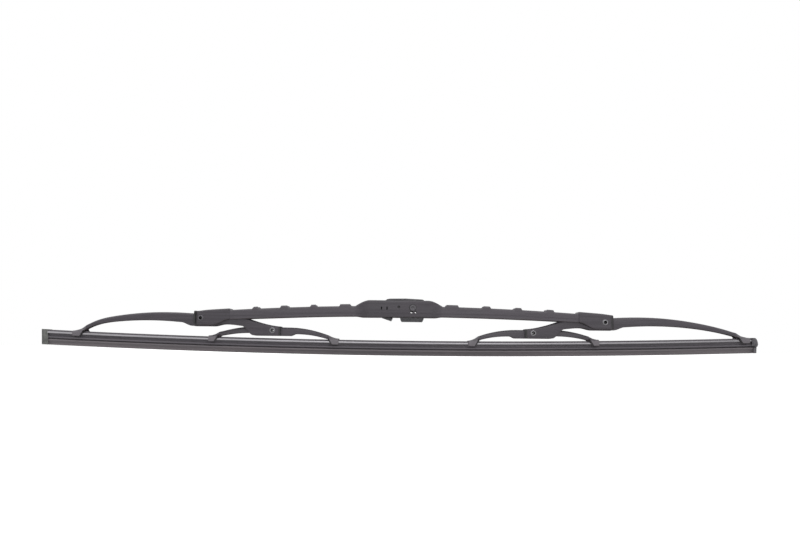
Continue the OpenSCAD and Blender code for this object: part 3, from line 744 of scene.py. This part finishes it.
# %% [markdown]
# ## Secondary yokes
# They turn on the bridge's rivets. The outer arm is long and thins towards its claw, and the inner arm dips
# to the fork that holds a tertiary yoke. The walls bulge very slightly, as drawn sheet does, which gives the
# soft light-to-dark band that runs along them in the picture.

# %% Outline of a secondary yoke
INNER_END = INNER_ARM + 4.8
CREST_AT = 27.0
ARM_CREST = {-1: 4.25, 1: 4.1}
ARM_R = {-1: 234.0, 1: 252.0}
ARM_DEPTH = 8.0
ARM_TIP_DEPTH = 3.0
ARM_W = 4.6
YOKE_T = 0.9
RUNNING_BORE_D = 3.05
HUB_DEPTH = 5.85
FOOT_DEPTH = 3.8


def arm_fall(distance, tip, total, radius):
    """Drop of an arm's back: an arc that bends down a little more in its last third."""
    late = 0.64 * tip
    bend = (max(distance - late, 0) / (tip - late)) ** 3
    return fall(distance, radius) + (total - fall(tip, radius)) * bend


def claw_back(x, past, claw):
    """The back of a claw, from its arm's tip down towards the rubber."""
    length, over, end_over = claw[1:]
    return rail_z(x) + CROWN_TOP + end_over + (over - end_over) * (1 - min(past / length, 1)) ** 1.8


def jaw_edge(x, past, edge):
    """The lower edge of an arm, led down round the rail where its claw begins."""
    return edge + (rail_z(x) + CLAW_BOTTOM - edge) * share(past / JAW_RAMP)


def winged(past):
    """Keeps the arm's back narrow over a claw, so that only its jaws spread, like a bell."""

    def dress(x, y, z, top, edge, half):
        x, y, z = drawn_wall(x, y, z, top, edge, half)
        if past(x) > -4:
            above = share((z - rail_z(x) - CROWN_TOP - 0.5) / 1.3)
            y *= 1 - above * (1 - min(ARM_W / 2 / half, 1))
        return x, y, z

    return dress


def jaw_painted_light(x, z, past):
    """Claws are painted lighter as a painted highlight, with painted shade along their slanting front edge.
    """
    height = z - rail_z(x)
    painted_shade_edge = (CROWN_TOP + CLAW_GAP - height) * JAW_RAMP / (CROWN_TOP + CLAW_GAP - CLAW_BOTTOM)
    if past <= 0 or past < painted_shade_edge:
        return 0.0
    if past - painted_shade_edge < 1.0:
        return -0.8
    return 0.27 if height < CROWN_TOP else 0.16


def secondary_shape(side):
    tip = ARM_CLAW[side][0]
    crest = BRIDGE_RIVET_Z + ARM_CREST[side]
    hip = -INNER_ARM * 0.53
    tip_z = claw_back(rivet_at(side) + side * tip, 0, ARM_CLAW[side])

    def back(s, x):
        if s >= tip:
            return claw_back(x, s - tip, ARM_CLAW[side])
        if s >= CREST_AT:
            return crest - arm_fall(s - CREST_AT, tip - CREST_AT, crest - tip_z, ARM_R[side])
        if s >= 0:
            return crest - 1.2 * ((CREST_AT - s) / CREST_AT) ** 2
        if s >= hip:
            return crest - 1.2 - 0.6 * s / hip
        u = (hip - s) / (hip + INNER_END)
        return crest - 1.8 - (crest - 1.8 - YOKE_RIVET_Z - 3) * (0.35 * u + 0.65 * math.sin(math.pi / 2 * u))

    def shape(x):
        s = (x - rivet_at(side)) * side
        top = back(s, x)
        belly = BRIDGE_RIVET_Z - HUB_DEPTH
        waist = BRIDGE_RIVET_Z - 4.3 - 1.3 * ease((-s - 18) / 16)
        foot = YOKE_RIVET_Z - FOOT_DEPTH
        depth = ARM_DEPTH - (ARM_DEPTH - ARM_TIP_DEPTH) * share(s / tip)
        under = max(back(min(s, tip), x) - depth, rail_z(x) + CROWN_TOP + CLAW_GAP)
        if s >= 0:
            edge = jaw_edge(x, s - tip, belly + (under - belly) * ease((s - 5.8) / 8.6))
        else:
            edge = belly + (waist - belly) * ease((-s - 8) / 9)
            edge += (foot - waist) * ease((-s - INNER_ARM + 23) / 9)
        half = YOKE_W / 2 - (YOKE_W - ARM_W) / 2 * ease((s - 10) / (tip - 24))
        half -= 0.3 * ease((-s - 10) / 6) * (1 - ease((-s - 46) / 4))
        half += (CLAW_HALF - ARM_W / 2) * ease((s - tip + 2.6) / 3)
        return top, edge, half

    def painted_light(x, z):
        s = (x - rivet_at(side)) * side
        # Painted shade: the inner arm is darker, as its walls catch less of the top light.
        return jaw_painted_light(x, z, s - tip) - (0.13 if side > 0 else 0.07) * ease((-s - 12) / 10)

    return shape, painted_light, winged(lambda x: (x - rivet_at(side)) * side - tip)


def bored(bm, *holes):
    """Thickens a yoke's sheet, rounds its rim and bores (diameter, x, z) across it."""
    through = 3 * YOKE_W
    cutter = cutter_object(lambda c: [bar_across(c, d, through, x, z) for d, x, z in holes])
    done = with_modifiers(bm, thickened(YOKE_T), rounded_edges(0.14), cut_by(cutter))
    discard(cutter)
    return done


# %% Press both secondary yokes
for side in (-1, 1):
    at = rivet_at(side)
    tip, claw_length = ARM_CLAW[side][:2]
    steps = spaced(
        (-INNER_END, 0.5), (-INNER_ARM + 14, 0.7), (-18, 0.6),
        (15, 1.3), (tip - 8, 0.35), (tip + claw_length, 1),
    )
    places = sorted(at + side * s for s in steps)
    yoke = folded_sheet(places, *secondary_shape(side))
    fork = open_roof(yoke, lambda x: -side * (x - at) > INNER_ARM - 8.4)
    jaws = open_roof(yoke, lambda x: side * (x - at) > tip + 0.35 * claw_length)
    print(SIDE_NAME[side], "outer yoke: roof faces cut from the fork and the claw:", fork, jaws)
    yoke = bored(
        yoke,
        (RUNNING_BORE_D, at, BRIDGE_RIVET_Z),
        (RIVET_HOLE_D, at - side * INNER_ARM, YOKE_RIVET_Z),
    )
    claw_tabs(yoke, at, ARM_CLAW[side], side)
    name = SIDE_NAME[side]
    piece_from(
        yoke, name + "_outer_yoke", yoke_paint,
        name + "_secondary", [name + "_secondary_yoke"],
    )

# %% [markdown]
# ## Tertiary yokes
# The smallest yokes, one to each fork, with a claw at both ends. They are folded the same way, from a
# narrower blank, so that they turn between the walls of the fork.

# %% Press both tertiary yokes
TERTIARY_TIP_W = 4.6
TERTIARY_HUB_DEPTH = 4
TERTIARY_R = {(-1, -1): 88.0, (-1, 1): 80.0, (1, -1): 84.0, (1, 1): 97.0}


def tertiary_shape(side, middle):
    def shape(x):
        d = x - middle
        a = abs(d)
        end = 1 if d > 0 else -1
        claw = SHORT_CLAW[side, end]
        tip = claw[0]
        tip_z = claw_back(middle + end * tip, 0, claw)
        crest = YOKE_RIVET_Z + 2.3 + 0.5 * ease((side * d + 12) / 24)
        if a >= tip:
            top = claw_back(x, a - tip, claw)
        else:
            top = crest - arm_fall(max(a - 12, 0), tip - 12, crest - tip_z, TERTIARY_R[side, end])
        belly = YOKE_RIVET_Z - TERTIARY_HUB_DEPTH
        depth = 5.9 - 2.8 * min(a, tip) / tip
        under = max(top - depth, rail_z(x) + CROWN_TOP + CLAW_GAP)
        edge = jaw_edge(x, a - tip, belly + (under - belly) * ease((a - 13) / 4))
        half = TERTIARY_W / 2 - (TERTIARY_W - TERTIARY_TIP_W) / 2 * ease((a - 16) / 20)
        half += (CLAW_HALF - TERTIARY_TIP_W / 2) * ease((a - tip + 2.4) / 2.8)
        return top, edge, half

    def past(x):
        return abs(x - middle) - SHORT_CLAW[side, 1 if x > middle else -1][0]

    return shape, lambda x, z: 0.02 + jaw_painted_light(x, z, past(x)), winged(past)


for side in (-1, 1):
    middle = rivet_at(side) - side * INNER_ARM
    low, low_length = SHORT_CLAW[side, -1][:2]
    high, high_length = SHORT_CLAW[side, 1][:2]
    places = spaced(
        (middle - low - low_length, 0.35), (middle - low + 8, 1.0), (middle - 18, 0.6), (middle + 18, 1.0),
        (middle + high - 8, 0.35), (middle + high + high_length, 1),
    )
    yoke = folded_sheet(places, *tertiary_shape(side, middle))
    open_roof(yoke, lambda x: not -low - 0.35 * low_length < x - middle < high + 0.35 * high_length)
    yoke = bored(yoke, (RUNNING_BORE_D, middle, YOKE_RIVET_Z))
    for end in (-1, 1):
        claw_tabs(yoke, middle, SHORT_CLAW[side, end], end)
    name = SIDE_NAME[side]
    piece_from(
        yoke, name + "_inner_yoke", yoke_paint,
        name + "_tertiary", [name + "_tertiary_yoke"],
    )

# %% [markdown]
# ## Hollow rivets and the cross pin
# A hollow rivet is a tube whose ends are rolled over into small rings. That is a turned shape, so its
# profile is drawn once and spun about its axis. The cross pin is solid, with a shallow dimple in each head.

# %% Spin the rivets


def turned(profile, x, z, steps=48, closed=True, shade_inside=0.0, shade_outside=9.0):
    """Spins (radius, across) points about the axis along Y through (x, z)."""
    bm = bmesh.new()
    deep = bm.verts.layers.float.new("deep")
    verts = [bm.verts.new((x + radius, across, z)) for radius, across in profile]
    for vert, (radius, _) in zip(verts, profile):
        # These vertices carry painted shade: the bore of a rivet and the outer rim of the pin.
        vert[deep] = 1.0 if radius < shade_inside or radius > shade_outside else 0.0
    pairs = list(zip(verts, verts[1:]))
    if closed:
        pairs.append((verts[-1], verts[0]))
    edges = [bm.edges.new(pair) for pair in pairs]
    bmesh.ops.spin(
        bm, geom=verts + edges, cent=(x, 0, z), axis=(0, 1, 0), angle=2 * math.pi, steps=steps, use_merge=True
    )
    bmesh.ops.remove_doubles(bm, verts=bm.verts, dist=0.001)
    bmesh.ops.recalc_face_normals(bm, faces=bm.faces)
    return bm


def rivet_profile(over, head=4.3, shank=2.8, bore=1.9):
    half = over / 2
    outer = [
        (bore / 2, half - 0.9), (bore / 2 + 0.04, half - 0.1), (bore / 2 + 0.16, half + 0.26),
        (bore / 2 + 0.42, half + 0.43), (head / 2 - 0.55, half + 0.45), (head / 2 - 0.2, half + 0.34),
        (head / 2, half + 0.12), (head / 2 - 0.03, half + 0.01), (shank / 2, half),
    ]
    return outer + [(radius, -across) for radius, across in reversed(outer)]


for side in (-1, 1):
    name = SIDE_NAME[side]
    ring = painted_over_zinc if side < 0 else bright_zinc
    piece_from(
        turned(rivet_profile(FLARE_W), rivet_at(side), BRIDGE_RIVET_Z, shade_inside=1.2),
        name + "_long_rivet", ring, "bridge", [name + "_bridge_rivet"],
    )
    piece_from(
        turned(rivet_profile(YOKE_W), rivet_at(side) - side * INNER_ARM, YOKE_RIVET_Z, shade_inside=1.2),
        name + "_short_rivet", bright_zinc, name + "_secondary", [name + "_yoke_rivet"],
    )

# %% Spin the cross pin
pin_half = BOX_W / 2
pin_profile = [
    (0, pin_half + 0.2), (0.7, pin_half + 0.2), (1.0, pin_half + 0.42), (2.2, pin_half + 0.45),
    (2.55, pin_half + 0.3), (2.65, pin_half + 0.02), (2.05, pin_half),
]
pin_profile += [(radius, -across) for radius, across in reversed(pin_profile)]
piece_from(
    turned(pin_profile, 0, 0, closed=False, shade_outside=2.5),
    "cross_pin", pin_zinc, "bridge", ["bridge_pin"],
)

# %% [markdown]
# ## The rubber strip
# Rubber comes out of a die, so its section is one outline that is pushed along the blade. The outline is a
# flat face whose corners are rounded by a bevel, and the face is extruded again and again, each time turned
# a little with the bow. The strip is made in three lengths that meet inside the inner claws of the tertiary
# yokes.

# %% Sweep helper


def swept(outline, start, end, step, rounding=0.0):
    """Pushes an outline of (across, height) along the bow from start to end."""
    bm = bmesh.new()
    face = bm.faces.new([bm.verts.new((0, y, z)) for y, z in outline])
    if rounding:
        bmesh.ops.bevel(
            bm, geom=list(face.verts), offset=rounding, offset_type="OFFSET", segments=2, profile=0.5,
            affect="VERTICES", clamp_overlap=True, material=-1,
        )
    face = bm.faces[:][0]
    places = spaced((start, step), (end, step))
    bmesh.ops.transform(bm, matrix=rail_place(places[0]), verts=bm.verts)
    for here, there in zip(places, places[1:]):
        grown = bmesh.ops.extrude_face_region(bm, geom=[face])["geom"]
        face = [g for g in grown if isinstance(g, bmesh.types.BMFace)][0]
        bmesh.ops.transform(bm, matrix=rail_place(there) @ rail_place(here).inverted(), verts=face.verts)
    bmesh.ops.recalc_face_normals(bm, faces=bm.faces)
    return bm


def mirrored(half):
    """Closes a half outline that runs down the +Y side."""
    return half + [(-y, z) for y, z in reversed(half)]


# %% The rubber's section
SLOT_TOP = RAIL_T / 2 - RAIL_DROP + 0.04
SLOT_FOOT = -RAIL_T / 2 - RAIL_DROP - 0.04
RAKE = 0.12
strip_outline = mirrored([
    (2.3, CROWN_TOP), (2.9, CROWN_TOP - 0.6), (2.9, SLOT_TOP), (WEB_W / 2, SLOT_TOP), (WEB_W / 2, SLOT_FOOT),
    (2.6, SLOT_FOOT), (2.6, -1.5), (1.8, -1.75), (1.8, -2.7), (2.7, -2.95), (3.0, -3.35), (3.1, -4.1),
    (2.8, -4.4), (1.4, -4.55), (0.9, -4.7), (0.9, -5.0), (1.4, -5.15), (2.6, -5.25), (2.8, -5.5), (2.8, -6.2),
    (1.9, -6.6), (0.8, -7.45), (0.38, -8.2), (0.35, -LIP_DROP),
])
SEAM = {side: rivet_at(side) - side * (INNER_ARM + SEAM_REACH[side]) for side in (-1, 1)}
OUTER_CLAW = {side: rivet_at(side) + side * OUTER_CLAW_REACH[side] for side in (-1, 1)}
MID_CLAW = {side: rivet_at(side) - side * (INNER_ARM - MID_CLAW_REACH[side]) for side in (-1, 1)}


def level_marks(bm):
    """Marks each vertex with its height over the rails and its place along them, in millimetres."""
    level = bm.verts.layers.float.new("level")
    along = bm.verts.layers.float.new("along")
    for vert in bm.verts:
        vert[level] = vert.co.z - rail_z(vert.co.x)
        vert[along] = vert.co.x


strip_lengths = [
    ("rubber_left", ELEMENT_LEFT, SEAM[-1], -1),
    ("rubber_middle", SEAM[-1], SEAM[1], 0),
    ("rubber_right", SEAM[1], ELEMENT_RIGHT, 1),
]


def bend_or_ride(piece, side):
    """The middle length moves with the element; the end lengths only have their place baked into the mesh."""
    if side == 0:
        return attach(piece, "element")
    start = (OUTER_CLAW[side] * MM, 0, 0)
    end = (MID_CLAW[side] * MM, 0, 0)
    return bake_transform(piece)


def raked(bm, side):
    """Leans the outer end of an end length a little, as a guillotine leaves it."""
    end = ELEMENT_LEFT if side < 0 else ELEMENT_RIGHT
    for vert in bm.verts:
        if abs(vert.co.x - end) < 2:
            vert.co.x += side * RAKE * (vert.co.z - rail_z(end))


for name, start, end, side in strip_lengths:
    strip = swept(strip_outline, start, end, 4.0, rounding=0.12)
    level_marks(strip)
    if side:
        raked(strip, side)
    stands_for = ["rubber_element"] if side == 0 else []
    bend_or_ride(piece_from(strip, name, rubber, stands_for=stands_for), side)

# %% [markdown]
# ## The rails
# Two flat springs of stainless steel sit in the rubber's side slots and press the lip on the glass. Their
# rolled edges are what shines along the blade, so each edge is rounded in the outline.

# %% Roll the rails
rail_ends = {-1: ELEMENT_LEFT + RAIL_INSET, 1: ELEMENT_RIGHT - RAIL_INSET / 2}
for name, start, end, side in strip_lengths:
    rails = bmesh.new()
    start = rail_ends[-1] if side == -1 else start
    end = rail_ends[1] if side == 1 else end
    for edge_side in (-1, 1):
        inner = WEB_W / 2 + 0.05
        outline = [
            (edge_side * y, z * RAIL_T / 2 - RAIL_DROP)
            for y, z in ((inner, 1), (RAILS_HALF, 1), (RAILS_HALF, -1), (inner, -1))
        ]
        bar = swept(outline, start, end, 4.0, rounding=0.16)
        mesh = bpy.data.meshes.new("work")
        bar.to_mesh(mesh)
        bar.free()
        rails.from_mesh(mesh)
        bpy.data.meshes.remove(mesh)
    level_marks(rails)
    stands_for = ["front_rail", "rear_rail"] if side == 0 else []
    name = name.replace("rubber", "rails")
    bend_or_ride(piece_from(rails, name, rail_steel, stands_for=stands_for), side)

# %% [markdown]
# ## The ends of the rubber
# A thin moulded clip closes the right end, so that the rubber can't creep out of its claws, and a plain stop
# covers the left end. Both start as plates with a side outline, are hollowed by a cutter and get soft edges.

# %% Mould the end clip


def plate(bm, outline, width, middle_y=0.0):
    """A plate with a side outline of (x, z), extruded across the blade."""
    low = middle_y - width / 2
    face = bm.faces.new([bm.verts.new((x, low, z)) for x, z in outline])
    grown = bmesh.ops.extrude_face_region(bm, geom=[face])["geom"]
    verts = [g for g in grown if isinstance(g, bmesh.types.BMVert)]
    bmesh.ops.translate(bm, vec=(0, width, 0), verts=verts)
    return list(face.verts) + verts


CLIP_T = 0.5
CLIP_HALF = RAILS_HALF + CLAW_GAP + CLIP_T
END_HALF = 3.15
clip_top = CROWN_TOP + 0.05 + 0.3 * CLIP_T


def moulded_part(draw):
    bm = bmesh.new()
    draw(bm)
    bmesh.ops.recalc_face_normals(bm, faces=bm.faces)
    return bm


def box_outline(x0, x1, z0, z1):
    return [(x0, z0), (x1, z0), (x1, z1), (x0, z1)]


def end_plate(bm, side, outline, width):
    """A plate set square to the bow at an end of the rubber, with the same rake."""
    leaning = [(x + side * RAKE * z, z) for x, z in outline]
    end = ELEMENT_LEFT if side < 0 else ELEMENT_RIGHT
    bmesh.ops.transform(bm, matrix=rail_place(end), verts=plate(bm, leaning, width))


def end_moulding(name, side, material, stands_for, solids, hollows):
    """A small moulding at an end of the rubber: plates joined, then hollowed one cutter at a time."""
    whole = fused([moulded_part(lambda bm, one=one: end_plate(bm, side, *one)) for one in solids])
    cutters = [cutter_object(lambda bm, one=one: end_plate(bm, side, *one)) for one in hollows]
    whole = with_modifiers(whole, *[cut_by(cutter) for cutter in cutters], rounded_edges(0.1))
    discard(*cutters)
    return piece_from(whole, name, material, SIDE_NAME[side] + "_secondary", [stands_for])


clip_side = [
    (-3.4, clip_top), (-1.6, clip_top - 0.1), (-0.6, clip_top - 0.7), (0.1, clip_top - 1.9), (0.65, -1.9),
    (0.85, -3.3), (0.3, -4.9), (-3.4, -4.3),
]
end_moulding(
    "end_cap", 1, clip_nylon, "end_clip",
    [
        (clip_side, 2 * CLIP_HALF),
        (box_outline(-2.3, -1.6, -4.4, clip_top - 0.5), 2 * CLIP_HALF + 0.6),
        (box_outline(-1.6, 0.4, -LIP_DROP, -2.9), 2 * (END_HALF + CLIP_T)),
    ],
    [
        (box_outline(-9, -0.35, -5.4, clip_top - 0.3 * CLIP_T), 2 * (CLIP_HALF - CLIP_T)),
        (box_outline(-9, 0.04, -12, -0.5), 2 * END_HALF),
    ],
)

# %% Mould the left stop
STOP_HALF = 3.12
stop_top = CROWN_TOP + 0.2
end_moulding(
    "end_stop", -1, stop_nylon, "rail_stop",
    [(box_outline(-0.6, RAIL_INSET - 0.1, -LIP_DROP, stop_top), 2 * (STOP_HALF + 0.15))],
    [(box_outline(-0.02, 9, -12, CROWN_TOP + 0.05), 2 * STOP_HALF)],
)

# %% [markdown]
# ## The arm clip
# The clip is one moulding: two cheeks, a core that the arm's hook lies round, a web under the hook and a
# spring tongue with a release tab. Each is a plate with its own side outline. They are joined by a Boolean
# union, so that the moulding is one skin, and its edges are rounded at the end.

# %% Mould the arm clip
HOOK_ROOM = 9.5
CHEEK_T = 1.75
CLIP_W = HOOK_ROOM + 2 * CHEEK_T
CORE_R = PIN_D / 2 + 1.5
SEAT_Z = CORE_R + 0.1
NOSE = 10.0
cheek_outline = [
    (-20.8, BOX_TOP - 0.5), (-19.2, BOX_TOP + 0.75), (-17.2, BOX_TOP + 1.2), (-5.5, BOX_TOP + 1.4),
    (6.9, BOX_TOP + 0.8), (8.2, BOX_TOP + 0.35), (8.4, BOX_TOP - 1), (8.4, 3 - NOSE), (7.9, 1.2 - NOSE),
    (7.3, -NOSE), (-8.2, -NOSE), (-9.0, 1.4 - NOSE), (-9.4, 3 - NOSE), (-9.4, -3.4), (-20.8, -1.6),
]
tongue_outline = [
    (-16.5, SEAT_Z - 0.3), (-20.2, 2.6), (-23.4, 0.6), (-24.4, -3), (-22.9, -7.4), (-16.0, -9.7),
    (-14.9, -7.6), (-20.2, -6.2), (-22.2, -2.8), (-21.4, -0.4), (-19.4, 0.7), (-16.5, 1),
]
core_outline = [
    (-17, SEAT_Z), (1.2, SEAT_Z), (2, SEAT_Z - 0.7), (0, 0),
    (0.8, -SEAT_Z), (-4, -SEAT_Z), (-9, 0.2), (-17, 0.2),
]
web_outline = [(-8.2, -NOSE), (7.3, -NOSE), (7.8, -NOSE + 1.4), (-8.7, -NOSE + 1.4)]


cheek_y = (CLIP_W - CHEEK_T) / 2
moulded = fused([
    moulded_part(lambda bm: plate(bm, cheek_outline, CHEEK_T, -cheek_y)),
    moulded_part(lambda bm: plate(bm, cheek_outline, CHEEK_T, cheek_y)),
    moulded_part(lambda bm: bar_across(bm, 2 * CORE_R, HOOK_ROOM + 0.5, 0, 0, facets=40)),
    moulded_part(lambda bm: plate(bm, core_outline, HOOK_ROOM + 0.6)),
    moulded_part(lambda bm: plate(bm, web_outline, HOOK_ROOM + 0.7)),
    moulded_part(lambda bm: plate(bm, tongue_outline, HOOK_ROOM - 1)),
])


def moulding_cutters(bm):
    through = 40
    bar_across(bm, PIN_D + PIN_PLAY, through, 0, 0, facets=32)
    for width, height, x in SIGHT_SLOTS:
        slot_across(bm, width, height, through, x, CLIP_SIGHT_Z)


cutter = cutter_object(moulding_cutters)
moulded = with_modifiers(moulded, cut_by(cutter), rounded_edges(0.22, angle=35))
discard(cutter)
piece_from(moulded, "hook_moulding", moulding, "adapter", ["arm_adapter"])

# %% [markdown]
# ## Small solids that stay as they are
# The liners are plain little solids that hardly show. They keep their own meshes and only get the nylon,
# which is enough for a dark rim beside each rivet.

# %% Dress the liners
for node in ("left_bridge_liner", "right_bridge_liner", "left_yoke_liner", "right_yoke_liner"):
    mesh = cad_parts[node].data
    mesh.materials.clear()
    mesh.materials.append(nylon)
    print("nylon on", node)

# %% [markdown]
# ## Floor and light
# The blade stands on its lip on a plain white floor. The world lights it evenly, and two broad lamps give
# the steel its soft top light. Rays from the camera see pure white, so the ground looks like paper, while the
# floor still takes the blade's shadow.

# %% Floor


def floor_material():
    material = bpy.data.materials.new("paper_white")
    recipe = Recipe(material)
    tooth = recipe.grain(0.3, detail=2)
    pale = recipe.blend(tooth * 0.2, (0.86, 0.86, 0.86, 1), (0.9, 0.9, 0.9, 1))
    seen = recipe.node("LightPath", out="Is Camera Ray")
    glow = {"Emission Color": (1, 1, 1, 1), "Emission Strength": seen * 0.55}
    paper = recipe.node("BsdfPrincipled", {}, {"Base Color": pale, "Roughness": 0.9, **glow})
    behind = recipe.node("NewGeometry", out="Backfacing")
    clear = recipe.node("BsdfTransparent")
    one_sided = recipe.node("MixShader", {}, {0: behind, 1: paper, 2: clear})
    recipe.node("OutputMaterial", {}, {"Surface": one_sided})
    return material


FLOOR_Z = rail_z(0) - LIP_DROP - 0.05
floor_mesh = bmesh.new()
bmesh.ops.create_grid(floor_mesh, x_segments=8, y_segments=8, size=4.0)
bmesh.ops.translate(floor_mesh, vec=(0, 0, FLOOR_Z * MM), verts=floor_mesh.verts)
floor = object_from(floor_mesh, "floor")
floor.data.materials.append(floor_material())

# %% World
scene = bpy.context.scene
world = bpy.data.worlds.new("studio")
scene.world = world
sky = Recipe(world)
seen = sky.node("LightPath", out="Is Camera Ray")
for ray in ("Is Glossy Ray", "Is Transmission Ray"):
    seen = seen.maths("MAXIMUM", sky.node("LightPath", out=ray))
ground = sky.node("Background", {}, {"Color": (1, 1, 1, 1), "Strength": seen * 0.4 + 0.6})
sky.node("OutputWorld", {}, {"Surface": ground})

# %% Lamps


def soft_lamp(name, place, size, energy):
    data = bpy.data.lights.new(name, "AREA")
    data.shape = "RECTANGLE"
    data.size, data.size_y = size
    data.energy = energy
    lamp = bpy.data.objects.new(name, data)
    lamp.location = place
    lamp.rotation_euler = (Vector((0, 0, -0.02)) - Vector(place)).to_track_quat("-Z", "Y").to_euler()
    scene.collection.objects.link(lamp)


soft_lamp("top_softbox", (-0.15, -0.35, 1.1), (1.6, 0.9), 7.0)
soft_lamp("front_softbox", (0.25, -1.3, 0.45), (1.4, 0.8), 5.0)

# %% [markdown]
# ## Camera
# The picture was taken from straight in front, a little below the rails and tilted up by seven degrees. The
# place, the tilt, the slight roll and the focal length come from matching the blade's outline.

# %% Camera
eye = bpy.data.cameras.new("eye")
eye.sensor_fit = "HORIZONTAL"
eye.sensor_width = 36
eye.lens = 30.32
eye.clip_start = 0.01
camera = bpy.data.objects.new("eye", eye)
tilt = Matrix.Rotation(math.radians(97.0), 4, "X") @ Matrix.Rotation(0.011, 4, "Z")
camera.matrix_world = Matrix.Translation((-0.00983, -0.507, -0.0305)) @ tilt
scene.collection.objects.link(camera)
scene.camera = camera
scene.view_settings.view_transform = "Standard"
